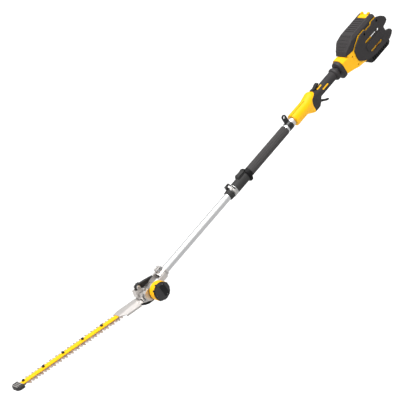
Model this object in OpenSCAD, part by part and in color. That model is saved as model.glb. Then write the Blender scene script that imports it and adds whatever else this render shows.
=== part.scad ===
// Telescoping battery pole hedge trimmer with a swinging cutter head.
// The pole lies along X from the cutter (-X) to the battery (+X). +Z is up, -Y is the user's left.
// The origin is the centre of the shoulder-strap eye.

/* [Pole] */
// Outside diameter of the sliding lower tube
lower_tube_d = 33; // [30:0.5:34]
// Outside diameter of the fixed upper tube
upper_tube_d = 38; // [37:0.5:40]
// Outside diameter of the foam sleeve on the upper tube
sleeve_d = 42.5; // [41:0.5:46]
// Length of the foam sleeve
sleeve_l = 257; // [200:1:264]
// How far the lower tube can slide into the upper tube
slide_travel = 380; // [300:5:380]
// Height of the strap eye above the pole axis
eye_rise = 46; // [42:1:50]
// Radius of the strap eye
eye_r = 6; // [5:0.5:7]

/* [Cutter] */
// Upward tilt of the cutter head at rest
head_tilt = 15.5; // [0:0.5:30]
// Distance from the swing axis to the front of the tip shoe
tip_reach = 716; // [616:1:800]
// Spacing of the teeth along each blade
tooth_pitch = 30.5; // [26:0.5:34]
// Width of the blades from tooth tip to tooth tip
blade_w = 64; // [58:1:70]
// Thickness of each blade
blade_t = 2.5; // [2:0.1:2.8]
// Throw of the crank eccentrics, half the blade stroke
crank_throw = 6; // [4:0.5:6]
// Width of the guide bar over the blades
bar_w = 25; // [22:1:30]
// Spacing of the blade bolts
bolt_pitch = 100.7; // [90:0.1:105]

/* [Motor] */
// Outside diameter of the motor housing
motor_d = 80; // [78:1:84]
// Outside diameter of the motor end cap
motor_cap_d = 77; // [74:1:78]
// How far the motor cap's face stands from the pole axis
motor_reach = 88; // [86:1:92]

/* [Handle] */
// Outside diameter of the front handle
handle_d = 59; // [57:1:60]
// Outside diameter of the rear grip
grip_d = 43.5; // [42:0.5:44]
// Squeeze angle of the trigger
trigger_swing = 12; // [8:1:14]

/* [Power end] */
// Width over the battery hood
battery_w = 88; // [84:1:88]
// Height of the battery hood above the pole axis
battery_top = 80; // [78:1:84]
// Depth of the rest foot below the pole axis
foot_drop = 102; // [98:1:110]
// Thickness of the side guards
guard_t = 6; // [5:0.5:7]

/* [Hidden] */
$fn = 64;

yellow = "#f7d317";
dark_grey = "#454446";
black = "#1f1f20";
cast_grey = "#c9c6c2";
steel = "#a9abad";
bright_steel = "#dcdcdb";

// Running gap between a pin and its hole, on the radius
pin_gap = 0.05;
// Gap between faces of pieces that move past each other
slip_gap = 0.4;
// Overlap that keeps cuts clean
cut = 1;

// Stations along the pole, measured from the strap eye
pivot_x = -955;
bracket_front_x = -896;
bracket_rear_x = -856;
collar_front_x = -430;
band_front_x = -408;
band_rear_x = -385;
flange_x = -303;
sleeve_front_x = -282;
handle_front_x = 30;
handle_rear_x = 205;
grip_rear_x = 325;
flange2_x = 319;
neck_x = 346;
chassis_front_x = 370;
chassis_rear_x = 632;
hanger_screw_x = -2;

lower_tube_r = lower_tube_d / 2;
upper_tube_r = upper_tube_d / 2;
upper_bore_r = lower_tube_r + slip_gap;
ring_r = upper_tube_r + 1.7;
lower_tube_front_x = bracket_front_x + 6;
lower_tube_rear_x = -290;
upper_tube_front_x = collar_front_x + 12;
upper_tube_rear_x = lower_tube_rear_x + slide_travel + 40;

// Heights in the head, measured square to the blades from the swing axis
blade_plane = -26;
blade_gap = 0.3;
upper_blade_z = blade_plane + blade_gap / 2;
lower_blade_z = blade_plane - blade_gap / 2 - blade_t;
blade_top_z = upper_blade_z + blade_t;
bar_z = blade_top_z + blade_gap;
bar_t = 5.5;
bolt_head_t = 7;

// Gear train: motor pinion to reduction gear, crown pinion to crown wheel
spur_module = 1.55;
motor_teeth = 16;
reduction_teeth = 28;
crown_teeth = 24;
crown_pinion_teeth = 10;
crown_mean_r = 20;
crown_module = 2 * crown_mean_r / crown_teeth;
crown_pinion_r = crown_module * crown_pinion_teeth / 2;
crown_disc_z = blade_top_z + 1;
crown_disc_t = 10;
layshaft_z = crown_disc_z + crown_disc_t + 2 + crown_pinion_r;
spur_distance = spur_module * (motor_teeth + reduction_teeth) / 2;
mesh_angle = asin(-layshaft_z / spur_distance);
crank_ahead = spur_distance * cos(mesh_angle);
layshaft_r = 4;
eccentric_r = 9;
crank_case_r = 35;
crank_bore_r = 32;
cover_z = lower_blade_z - 1.2;
cover_t = 11;
spur_y = -42;
spur_t = 7;

// Head casting
barrel_r = 22;
barrel_y = 21.5;
trunnion_r = 16;
arm_y = 22.2;
arm_t = 8;
arm_half_h = 12;
ear_z = 29;
eye_boss_r = 23;
gear_plate_y = -33;
gear_wall_r = 26.5;
lug_angles = [110, 160, 200];
lug_r = 4.5;
lug_ring_r = 30.5;
motor_back_y = -45.5;
motor_split_y = -motor_reach + 8;

// Blades
tooth_count = 16;
blade_first_tooth = 182;
blade_end = tip_reach - 50;
first_bolt = 266;
bolt_count = 5;
spine_w = 26;
bush_r = 3.6;
bolt_r = 3;
slot_r = bush_r + 0.5;
shroud_front = 188;
shoe_l = 34;

// Lock lever
lever_pivot = [-53, 36];
lever_pin_r = 3;
lever_half_w = 8;
lever_ear_t = 4.5;
lever_ear_y = lever_half_w + slip_gap + lever_ear_t;

// Clamp lever
clamp_hinge = [9, 29];
clamp_pin_r = 2.5;
ear_front_x = -411;
ear_rear_x = -395;
ear_t = 5;
collar_r = 21.5;
band_r = 23.5;

// Trigger and lock-off lever
trigger_pivot = [188, -34];
lock_off_pivot = [190, 15];
small_pin_r = 2;
small_pin_half = 14.5;
grip_z = -3;

// Power end
wall = 3;
cell_half_l = 28;
battery_half = battery_w / 2;
guard_y = battery_half;
hood_profile = [
    [403, 27.5], [443, 29], [503, 62], [545, 62], [549, 53.5], [588, 53.5], [592, 62], [632, 62],
    [632, battery_top - 6],
    [626, battery_top], [486, battery_top], [453, 66.5], [416, 43]
];
chassis_profile = [
    [chassis_front_x, 33], [397, 30.5], [400, 26], [443, 28], [503, 61], [545, 61],
    [549, 52.5], [588, 52.5], [592, 61], [chassis_rear_x, 61],
    [chassis_rear_x, -68], [490, -68], [chassis_front_x, -36]
];
guard_profile = [
    [441, -8], [446, 24], [464, 38], [502, 54.5], [512, 58.5], [545, 58.5], [549, 50],
    [590, 50], [600, 59], [636, 57], [656, 45], [671, 31], [675, 22], [675, 8], [664, 1],
    [641, -5], [641, -28], [650, -28], [661, -33], [669, -40], [671, -52], [660, -62], [641, -71],
    [536, -69], [503, -63], [483, -57], [460, -43], [444, -28]
];

// Frames: the pole axis, and the tilted head around the swing axis
module on_pole() {
    translate([0, 0, -eye_rise]) children();
}

module in_head() {
    on_pole() translate([pivot_x, 0, 0]) rotate([0, head_tilt, 0]) children();
}

// Moves forward along the blades
module ahead(distance) {
    translate([-distance, 0, 0]) children();
}

// Round bar along X from x0 to x1
module bar_x(x0, x1, r) {
    translate([x0, 0, 0]) rotate([0, 90, 0]) cylinder(h = x1 - x0, r = r);
}

// Round bar along Y from y0 to y1
module bar_y(y0, y1, r) {
    translate([0, y0, 0]) rotate([-90, 0, 0]) cylinder(h = y1 - y0, r = r);
}

// Ring along X
module ring_x(x0, x1, r_out, r_in) {
    difference() {
        bar_x(x0, x1, r_out);
        bar_x(x0 - cut, x1 + cut, r_in);
    }
}

// Ring along Y
module ring_y(y0, y1, r_out, r_in) {
    difference() {
        bar_y(y0, y1, r_out);
        bar_y(y0 - cut, y1 + cut, r_in);
    }
}

// Plate from y0 to y1 with its outline drawn in X and Z
module side_plate(y0, y1) {
    translate([0, y1, 0]) rotate([90, 0, 0]) linear_extrude(y1 - y0) children();
}

// Box from its low corner to its high corner
module box(low, high) {
    translate(low) cube(high - low);
}

// Flat slot with round ends along X
module stadium(half_length, r) {
    union() {
        translate([-half_length, 0]) circle(r);
        translate([half_length, 0]) circle(r);
        square([2 * half_length, 2 * r], center = true);
    }
}

// Outline of a toothed wheel with straight-sided teeth and wide backlash
module toothed_wheel(teeth, gear_module) {
    root_r = gear_module * (teeth - 2.5) / 2;
    tip_r = gear_module * (teeth + 1.7) / 2;
    root_w = gear_module * 1.5;
    tip_w = gear_module * 0.55;
    union() {
        circle(root_r);
        for (i = [0:teeth - 1])
            rotate(i * 360 / teeth)
                polygon([[0, -root_w / 2], [root_r, -root_w / 2], [tip_r, -tip_w / 2],
                         [tip_r, tip_w / 2], [root_r, root_w / 2], [0, root_w / 2]]);
    }
}

// Hexagon-socket screw along Z, head up, standing on z = 0
module screw(head_r, head_t, shank_r, shank_l) {
    difference() {
        union() {
            cylinder(h = head_t, r = head_r);
            translate([0, 0, -shank_l]) cylinder(h = shank_l + cut, r = shank_r);
        }
        translate([0, 0, head_t - head_t / 2]) cylinder(h = head_t, r = head_r * 0.55, $fn = 6);
    }
}

// Places children at the crank axis in the head
module at_crank() {
    ahead(crank_ahead) children();
}

// Places children at the layshaft axis in the head
module at_layshaft() {
    translate([-crank_ahead, 0, layshaft_z]) children();
}

// Cast case round the swing barrel, the crank chamber and the layshaft
module gear_case() {
    color(cast_grey) in_head() difference() {
        union() {
            difference() {
                union() {
                    at_crank() translate([0, 0, cover_z]) cylinder(h = 29, r = crank_case_r);
                    box([-66, gear_plate_y, cover_z + 20], [-eye_boss_r - 1, 24, 12]);
                }
                fork_relief();
                box([-120, -60, -60], [20, gear_plate_y, 60]);
            }
            bar_y(-barrel_y, barrel_y, barrel_r);
            bar_y(gear_plate_y, arm_y + arm_t + slip_gap, trunnion_r);
            box([-74, -lever_ear_y, 0], [-42, lever_ear_y, 28]);
            gear_wall(gear_plate_y, gear_plate_y + 2);
            for (y = [-lever_ear_y, lever_ear_y - lever_ear_t])
                translate([lever_pivot[0], 0, lever_pivot[1]]) bar_y(y, y + lever_ear_t, 8);
            for (y = [-lever_ear_y, lever_ear_y - lever_ear_t])
                box([lever_pivot[0] - 8, y, 20], [lever_pivot[0] + 8, y + lever_ear_t, lever_pivot[1]]);
        }
        at_crank() translate([0, 0, cover_z - cut]) cylinder(h = 24, r = crank_bore_r);
        at_crank() translate([0, 0, cover_z - cut]) box([-40, -20, 0], [0, 20, 9]);
        box([-crank_ahead - 13, -28, crown_disc_z], [-crank_ahead + 11, -7, 9]);
        at_layshaft() bar_y(gear_plate_y - cut, -20, 9.02);
        at_crank() translate([0, 0, crown_disc_z]) cylinder(h = 24, r = 6 + pin_gap);
        box([-44, -lever_half_w - slip_gap, 13], [40, lever_half_w + slip_gap, 60]);
        box([lever_pivot[0] - 14, -lever_half_w - slip_gap, 19],
            [lever_pivot[0] + 14, lever_half_w + slip_gap, 60]);
        translate([lever_pivot[0], 0, lever_pivot[1]])
            bar_y(-lever_ear_y - cut, lever_ear_y + cut, lever_pin_r);
        box([-50, 18.2, 3], [-18, 32, 60]);
        gear_lugs() bar_y(gear_plate_y - cut, gear_plate_y + 2 + cut, 1.6);
    }
}

// Room for the fork's two arms beside the barrel, over the whole swing
module fork_relief() {
    for (side = [[-arm_y - arm_t - 0.8, -barrel_y], [barrel_y, arm_y + arm_t + 6.2]]) {
        bar_y(side[0], side[1], eye_boss_r + 1);
        box([-arm_half_h - 2, side[0], -80], [60, side[1], 0]);
    }
}

// Places children round the rim of the reduction gear's wall
module gear_lugs() {
    for (a = lug_angles)
        at_layshaft() rotate([0, -a, 0]) translate([lug_ring_r, 0, 0]) children();
}

// Wall behind or over the gears, with its screw lugs
module gear_wall(y0, y1) {
    union() {
        bar_y(y0, y1, 27);
        at_layshaft() bar_y(y0, y1, gear_wall_r);
        gear_lugs() bar_y(max(y0, gear_plate_y - 4), y1, lug_r);
    }
}

// Lower cover that closes the crank chamber under the blades
module crank_cover() {
    color(black) in_head() at_crank() difference() {
        translate([0, 0, cover_z - cover_t]) union() {
            cylinder(h = cover_t, r = crank_case_r - 0.5);
            translate([0, 0, 2]) cylinder(h = 5, r = crank_case_r + 1);
        }
        box([-60, -60, cover_z - 20], [60, gear_plate_y, cover_z + cut]);
        translate([crank_ahead, 0, 0]) fork_relief();
        translate([0, 0, cover_z - 5]) cylinder(h = 10, r = 18);
        translate([0, 0, cover_z - 8]) cylinder(h = 20, r = 6 + pin_gap);
    }
}

// Bowl over the reduction gear that also carries the motor
module gear_cover() {
    color(cast_grey) in_head() difference() {
        gear_wall(motor_back_y, gear_plate_y);
        gear_lugs() bar_y(gear_plate_y - 5, gear_plate_y + cut, 1.6);
        side_plate(motor_back_y + 2, gear_plate_y + cut) union() {
            circle(20);
            translate([-crank_ahead, layshaft_z]) circle(gear_wall_r - 2.5);
        }
        bar_y(motor_back_y - cut, gear_plate_y, 9.02);
    }
}

// Ridged casting over the blade roots
module blade_shroud() {
    ridge = 11;
    half = 36;
    color(cast_grey) in_head() difference() {
        intersection() {
            translate([-shroud_front, 0, bar_z]) rotate([90, 0, 90]) linear_extrude(shroud_front - 60)
                polygon([[-half, -7], [-half, 2], [-11, ridge], [11, ridge], [half, 2], [half, -7]]);
            translate([0, 0, bar_z - 20]) linear_extrude(60)
                polygon([[-60, -half], [-60, half], [-158, half], [-shroud_front, 18],
                         [-shroud_front, -18], [-158, -half]]);
            side_plate(-half, half)
                polygon([[-60, bar_z - 7], [-60, bar_z + 14], [-110, bar_z + ridge],
                         [-shroud_front, bar_z + 8], [-shroud_front, bar_z - 7]]);
        }
        box([-shroud_front - cut, -33.4, lower_blade_z - 20], [-50, 33.4, bar_z]);
        box([-shroud_front - cut, -bar_w / 2 - 0.2, bar_z - cut], [-132, bar_w / 2 + 0.2, bar_z + bar_t]);
        at_crank() translate([0, 0, -60]) cylinder(h = 80, r = crank_case_r + 0.02);
        box([-84, -60, -60], [-50, gear_plate_y + 2.05, 20]);
    }
}

// Screws of the gear cover
module case_screws() {
    color(steel) in_head() gear_lugs()
        translate([0, gear_plate_y - 4, 0]) rotate([90, 0, 0]) screw(3.2, 3, 1.6, 6);
}

// Yellow drum round the motor
module motor_housing() {
    r = motor_d / 2;
    color(yellow) in_head() difference() {
        union() {
            bar_y(motor_split_y, motor_back_y - 8, r);
            bar_y(motor_back_y - 8, motor_back_y - 4, r - 2);
            bar_y(motor_back_y - 4, motor_back_y, r - 6);
        }
        bar_y(motor_split_y - cut, motor_back_y - 5, r - wall);
        bar_y(motor_split_y - cut, motor_back_y + cut, 9.02);
    }
}

// Black end cap with notches round its rim
module motor_cap() {
    r = motor_cap_d / 2;
    color(black) in_head() difference() {
        union() {
            bar_y(-motor_reach + 1.5, motor_split_y, r);
            bar_y(-motor_reach, -motor_reach + 1.5, r - 1.5);
            bar_y(motor_split_y, motor_split_y + 4, motor_d / 2 - wall);
        }
        bar_y(-motor_reach + wall + 2, motor_split_y + 5, r - wall);
        for (a = [20:60:320])
            rotate([0, a, 0]) box([r - 2.5, -motor_reach - cut, -4], [r + 6, motor_split_y - 1.5, 4]);
        rotate([0, -head_tilt, 0])
            box([-9, -motor_reach - cut, -21], [12, -motor_reach + 0.9, 21]);
        for (a = [50, 170, 290])
            rotate([0, a, 0]) translate([r - 9, 0, 0]) bar_y(-motor_reach - cut, -motor_reach + 7, 2.6);
    }
    color(black) in_head() ring_y(-motor_reach + wall, -motor_reach + 13, 12, 9.02);
}

// Screws sunk in the motor cap
module cap_screws() {
    r = motor_cap_d / 2;
    color(steel) in_head() for (a = [50, 170, 290])
        rotate([0, a, 0]) translate([r - 9, -motor_reach + 4.5, 0]) bar_y(-2.5, 0.5, 2.55);
}

// Wound stator of the motor
module motor_stator() {
    color(steel) in_head() difference() {
        bar_y(motor_split_y + 5, motor_back_y - 6, motor_d / 2 - wall);
        bar_y(motor_split_y, motor_back_y, 24);
        for (a = [0:30:330])
            rotate([0, a, 0]) translate([30, 0, 0]) bar_y(motor_split_y, motor_back_y, 3.4);
    }
}

// Rotor and its shaft
module motor_rotor() {
    color(steel) in_head() union() {
        bar_y(motor_split_y + 6, motor_back_y - 7, 23);
        bar_y(-motor_reach + 6, spur_y + spur_t, layshaft_r);
    }
}

// Pinion pressed on the rotor shaft
module motor_pinion() {
    half_tooth = 180 / motor_teeth;
    color(steel) in_head() difference() {
        rotate([0, -mesh_angle, 0]) side_plate(spur_y, spur_y + spur_t)
            rotate(half_tooth) toothed_wheel(motor_teeth, spur_module);
        bar_y(spur_y - cut, spur_y + spur_t + cut, layshaft_r);
    }
}

// Ball bearings of the rotor
module motor_bearings() {
    color(bright_steel) in_head() {
        ring_y(motor_back_y - 4.5, motor_back_y + 1.8, 9, layshaft_r + pin_gap);
        ring_y(-motor_reach + 5.2, -motor_reach + 12, 9, layshaft_r + pin_gap);
    }
}

// Layshaft across the case
module layshaft() {
    color(steel) in_head() at_layshaft() bar_y(spur_y, -8, layshaft_r);
}

// Large gear on the layshaft
module reduction_gear() {
    color(steel) in_head() at_layshaft() difference() {
        rotate([0, -mesh_angle, 0]) side_plate(spur_y, spur_y + spur_t)
            toothed_wheel(reduction_teeth, spur_module);
        bar_y(spur_y - cut, spur_y + spur_t + cut, layshaft_r);
        for (a = [0:60:300])
            rotate([0, a, 0]) translate([15, 0, 0]) bar_y(spur_y - cut, spur_y + spur_t + cut, 4.5);
    }
}

// Small pinion that drives the crown wheel
module crown_pinion() {
    color(steel) in_head() at_layshaft() difference() {
        side_plate(-23.5, -17.5) rotate(-90) toothed_wheel(crown_pinion_teeth, crown_module);
        bar_y(-25, -15, layshaft_r);
    }
}

// Bearing of the layshaft in the case wall
module layshaft_bearing() {
    color(bright_steel) in_head() at_layshaft() ring_y(-33, -26.5, 9, layshaft_r + pin_gap);
}

// Crown wheel, its shaft and the two eccentrics that drive the blades
module crank() {
    color(steel) in_head() at_crank() union() {
        translate([0, 0, crown_disc_z]) cylinder(h = crown_disc_t, r = 24);
        for (i = [0:crown_teeth - 1])
            rotate((i + 0.5) * 360 / crown_teeth)
                translate([0, 0, crown_disc_z + crown_disc_t - 0.1])
                    box([16.6, -0.75, 0], [23.6, 0.75, 3.3]);
        translate([0, 0, crown_disc_z]) cylinder(h = 20, r = 6);
        translate([crank_throw, 0, blade_plane])
            cylinder(h = crown_disc_z - blade_plane + 0.1, r = eccentric_r);
        translate([-crank_throw, 0, cover_z]) cylinder(h = blade_plane - cover_z, r = eccentric_r);
        translate([0, 0, cover_z - 7.5]) cylinder(h = blade_plane - cover_z + 7.6, r = 6);
    }
}

// A pair of hooked teeth, one each side of the spine
module tooth_pair() {
    half = blade_w / 2;
    root = spine_w / 2 - cut;
    polygon([[8.5, root], [4.6, half - 4], [2.6, half], [-3.2, half], [-4.4, half - 4], [-7.5, root],
             [-7.5, -root], [-4.4, -half + 4], [-3.2, -half], [2.6, -half], [4.6, -half + 4], [8.5, -root]]);
}

// Outline of one blade with its teeth shifted along its length
module blade_outline(shift) {
    difference() {
        union() {
            translate([-blade_end, -spine_w / 2]) square([blade_end - crank_ahead - 12, spine_w]);
            translate([-crank_ahead, 0]) stadium(crank_throw, eccentric_r + crank_throw + 4);
            for (i = [0:tooth_count - 1])
                translate([-blade_first_tooth - shift - i * tooth_pitch, 0]) tooth_pair();
        }
        translate([-crank_ahead, 0]) stadium(crank_throw, eccentric_r + crank_throw + slip_gap);
        for (i = [0:bolt_count - 1])
            translate([-first_bolt - i * bolt_pitch, 0]) stadium(crank_throw, slot_r);
    }
}

// Blade next to the guide bar
module upper_blade() {
    color(bright_steel) in_head() translate([0, 0, upper_blade_z])
        linear_extrude(blade_t) blade_outline(0);
}

// Blade under it, half a tooth out of step
module lower_blade() {
    color(bright_steel) in_head() translate([0, 0, lower_blade_z])
        linear_extrude(blade_t) blade_outline(tooth_pitch / 2);
}

// Yellow bar that keeps the blades straight
module guide_bar() {
    color(yellow) in_head() difference() {
        translate([-tip_reach + 8, 0, bar_z]) rotate([90, 0, 90]) linear_extrude(tip_reach - 8 - 134)
            polygon([[-bar_w / 2, 0], [-bar_w / 2, 3.5], [-bar_w / 2 + 3, bar_t],
                     [bar_w / 2 - 3, bar_t], [bar_w / 2, 3.5], [bar_w / 2, 0]]);
        for (i = [0:bolt_count - 1])
            ahead(first_bolt + i * bolt_pitch) translate([0, 0, bar_z - cut])
                cylinder(h = 20, r = bolt_r + 0.05);
        for (y = [-20, 9])
            box([-tip_reach, y, bar_z - cut], [-tip_reach + shoe_l + 0.2, y + 11, bar_z + 20]);
    }
}

// Shouldered bolts through the bar and the blade slots
module blade_bolts() {
    color(black) in_head() for (i = [0:bolt_count - 1])
        ahead(first_bolt + i * bolt_pitch) translate([0, 0, bar_z + bar_t]) union() {
            cylinder(h = bolt_head_t - 1.5, r = 5.8);
            translate([0, 0, bolt_head_t - 1.5]) cylinder(h = 1.5, r = 4.5);
            translate([0, 0, lower_blade_z - 7 - bar_z - bar_t])
                cylinder(h = bar_z + bar_t - lower_blade_z + 7.5, r = bolt_r);
            translate([0, 0, lower_blade_z - 0.2 - bar_z - bar_t])
                cylinder(h = bar_z - lower_blade_z + 0.2, r = bush_r);
        }
}

// Nuts and washers under the blades
module blade_nuts() {
    color(steel) in_head() for (i = [0:bolt_count - 1])
        ahead(first_bolt + i * bolt_pitch) translate([0, 0, lower_blade_z - 6]) difference() {
            union() {
                translate([0, 0, 4.2]) cylinder(h = 1.5, r = 7.5);
                cylinder(h = 4.3, r = 5.2, $fn = 6);
            }
            translate([0, 0, -cut]) cylinder(h = 10, r = bolt_r);
        }
}

// Ribbed shoe that covers the blade tips
module tip_shoe() {
    half = 27;
    low = lower_blade_z - 2.4;
    high = bar_z + bar_t + 2.2;
    color(dark_grey) in_head() difference() {
        union() {
            translate([0, 0, low]) linear_extrude(high - low - 1.5)
                polygon([[-tip_reach + shoe_l, -half], [-tip_reach + shoe_l, half], [-tip_reach + 10, half],
                         [-tip_reach, half - 12], [-tip_reach, -half + 12], [-tip_reach + 10, -half]]);
            for (i = [0:3])
                translate([-tip_reach + 4 + i * 8, 0, 0])
                    box([0, -half + 10, low + 2], [4.5, half - 10, high]);
        }
        translate([-tip_reach, 0, bar_z]) union() {
            box([7.95, -9.05, -0.02], [shoe_l + cut, 9.05, bar_t + 0.02]);
            box([shoe_l - 10, -half + 3, lower_blade_z - bar_z - 1], [shoe_l + cut, half - 3, -0.02]);
        }
    }
}

// Lever that frees the head to swing, with its pawl finger
module lock_lever() {
    color(black) in_head() difference() {
        union() {
            translate([lever_pivot[0], 0, lever_pivot[1]]) bar_y(-lever_half_w, lever_half_w, 9.5);
            side_plate(-lever_half_w, lever_half_w)
                polygon([[-53, 27], [-53, 45.4], [-20, 44], [31, 41],
                         [30, 38.5], [12, 33], [-4, 26], [-34, 22]]);
            box([-40, 5, 28], [-30, 28.5, 38]);
            box([-36, 22.6, 9], [-25.5, 28.5, 38]);
        }
        translate([lever_pivot[0], 0, lever_pivot[1]])
            bar_y(-lever_half_w - cut, lever_half_w + cut, lever_pin_r + pin_gap);
    }
}

// Pin of the lock lever
module lock_lever_pin() {
    color(steel) in_head() translate([lever_pivot[0], 0, lever_pivot[1]])
        bar_y(-lever_ear_y - cut, lever_ear_y + cut, lever_pin_r);
}

// Bare tube that slides in the upper tube
module lower_tube() {
    color(bright_steel) on_pole()
        ring_x(lower_tube_front_x, lower_tube_rear_x, lower_tube_r, lower_tube_r - 1.6);
}

// Cast fork on the tube's end that carries the head
module pivot_bracket() {
    color(cast_grey) on_pole() difference() {
        union() {
            bar_x(bracket_front_x, bracket_rear_x, lower_tube_r + 5);
            box([bracket_front_x, -arm_y - arm_t, -arm_half_h],
                [bracket_rear_x - 16, arm_y + arm_t, arm_half_h]);
            for (y = [-arm_y - arm_t, arm_y]) side_plate(y, y + arm_t) union() {
                translate([pivot_x, 0]) circle(eye_boss_r);
                translate([pivot_x, -arm_half_h]) square([bracket_front_x - pivot_x + 10, 2 * arm_half_h]);
            }
            box([bracket_front_x + 5, -10, 10], [bracket_rear_x - 8, 10, ear_z + 6]);
        }
        translate([pivot_x, 0, 0]) bar_y(-40, 40, trunnion_r + pin_gap);
        bar_x(bracket_front_x - cut, bracket_rear_x + cut, lower_tube_r);
        box([bracket_front_x - cut, -1.5, 0], [bracket_rear_x + cut, 1.5, 60]);
        for (x = bracket_bolt_xs())
            translate([x, 0, ear_z]) bar_y(-20, 20, 3);
        for (a = [-60:15:75])
            translate([pivot_x, arm_y - cut, 0]) rotate([0, head_tilt + a + 21, 0])
                translate([-eye_boss_r, 0, 0]) rotate([-90, 0, 0]) cylinder(h = arm_t + 2 * cut, r = 1.6);
    }
}

// Stations of the two clamp bolts
function bracket_bolt_xs() = [bracket_front_x + 11.5, bracket_rear_x - 13.5];

// Bolts that pinch the fork on the tube
module bracket_bolts() {
    color(steel) on_pole() for (x = bracket_bolt_xs())
        translate([x, 0, ear_z]) union() {
            bar_y(-14, 14, 3);
            bar_y(-15, -10, 5);
            translate([0, 10, 0]) rotate([-90, 0, 0]) cylinder(h = 5, r = 5.5, $fn = 6);
        }
}

// Cap on the right end of the swing axle
module pivot_cap() {
    color(cast_grey) in_head() union() {
        bar_y(arm_y + arm_t + slip_gap, arm_y + arm_t + slip_gap + 5, eye_boss_r - 1);
        translate([0, arm_y + arm_t + slip_gap + 5, 0]) rotate([-90, 0, 0]) cylinder(h = 5, r = 8, $fn = 6);
    }
}

// Fixed tube from the clamp into the handle
module upper_tube() {
    color(bright_steel) on_pole() ring_x(upper_tube_front_x, upper_tube_rear_x, upper_tube_r, upper_bore_r);
}

// Foam sleeve for the front hand
module pole_sleeve() {
    rear = sleeve_front_x + sleeve_l;
    color(dark_grey) on_pole() difference() {
        union() {
            bar_x(sleeve_front_x, rear - 2, sleeve_d / 2);
            bar_x(rear - 3, rear, sleeve_d / 2 - 1);
        }
        bar_x(sleeve_front_x - cut, rear + cut, upper_tube_r);
    }
}

// Two ears that hold the clamp lever's pin, joined by a web on the far side
module clamp_ears() {
    for (x = [ear_front_x, ear_rear_x]) {
        translate([x, clamp_hinge[0], clamp_hinge[1]]) bar_x(0, ear_t, 6);
        box([x, clamp_hinge[0] - 6, 15], [x + ear_t, clamp_hinge[0] + 6, clamp_hinge[1]]);
    }
    web_y = clamp_hinge[0] + 5.9;
    box([ear_front_x, web_y, 12], [ear_rear_x + ear_t, web_y + 2.6, clamp_hinge[1] + 4]);
}

// Moulded collar at the mouth of the upper tube
module clamp_collar() {
    color(dark_grey) on_pole() difference() {
        union() {
            bar_x(collar_front_x, collar_front_x + 6, collar_r - 1.5);
            bar_x(collar_front_x + 6, sleeve_front_x, collar_r);
            bar_x(band_rear_x + 1, flange_x, collar_r + 1.7);
            bar_x(flange_x - 3, flange_x, 30);
            bar_x(flange_x, flange_x + 6, 32.5);
            bar_x(flange_x + 6, flange_x + 8, 30.5);
            side_plate(-12, 12)
                polygon([[-350, 15], [-346, 30], [-341, 33], [flange_x + 2, 33], [flange_x + 2, 15]]);
            clamp_ears();
        }
        bar_x(collar_front_x + 12, sleeve_front_x + cut, upper_tube_r);
        bar_x(collar_front_x - cut, collar_front_x + 13, upper_bore_r);
        side_plate(-13, 13)
            polygon([[-336, 31.5], [-336, 36], [-310, 36], [-310, 31.5]]);
        translate([0, clamp_hinge[0], clamp_hinge[1]])
            bar_x(ear_front_x - cut, ear_rear_x + ear_t + cut, clamp_pin_r);
    }
}

// Steel band that squeezes the collar
module clamp_band() {
    color(bright_steel) on_pole() difference() {
        ring_x(band_front_x, band_rear_x, band_r, collar_r);
        box([band_front_x - cut, clamp_hinge[0] - 6.5, 0], [band_rear_x + cut, clamp_hinge[0] + 9, 40]);
    }
}

// Over-centre lever of the clamp, wrapped round the near side
module clamp_lever() {
    x0 = ear_front_x + ear_t + slip_gap;
    x1 = ear_rear_x - slip_gap;
    inner_r = band_r + 0.6;
    color(cast_grey) on_pole() difference() {
        union() {
            intersection() {
                ring_x(x0, x1, inner_r + 5, inner_r);
                box([x0 - cut, -40, -4], [x1 + cut, 4, 40]);
            }
            translate([0, clamp_hinge[0], clamp_hinge[1]]) bar_x(x0, x1, 5.5);
            box([x0, -3, inner_r + 1.5], [x1, clamp_hinge[0], clamp_hinge[1] + 2]);
        }
        translate([0, clamp_hinge[0], clamp_hinge[1]]) bar_x(x0 - cut, x1 + cut, clamp_pin_r + pin_gap);
        rotate([38, 0, 0]) translate([(x0 + x1) / 2, 0, 20]) linear_extrude(20) rotate(90) stadium(5, 2.8);
    }
}

// Hinge pin of the clamp lever
module clamp_lever_pin() {
    color(steel) on_pole() translate([0, clamp_hinge[0], clamp_hinge[1]])
        bar_x(ear_front_x, ear_rear_x + ear_t, clamp_pin_r);
}

// Strap eye on a ring round the tube
module strap_hanger() {
    tab_half = 12;
    color(black) on_pole() difference() {
        union() {
            bar_x(-15, 11, ring_r);
            side_plate(-3.5, 3.5) union() {
                translate([0, eye_rise]) circle(tab_half);
                translate([-tab_half, 14]) square([2 * tab_half, eye_rise - 14]);
            }
        }
        bar_x(-20, 30, upper_tube_r);
        translate([0, 0, eye_rise]) bar_y(-10, 10, eye_r);
        translate([hanger_screw_x, 0, -40]) cylinder(h = 40, r = 1.5);
    }
}

// Screw that holds the strap ring, on its underside
module hanger_screw() {
    color(steel) on_pole() translate([hanger_screw_x, 0, -ring_r]) rotate([180, 0, 0])
        screw(3.5, 2.2, 1.5, ring_r - upper_tube_r - 0.1);
}

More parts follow.
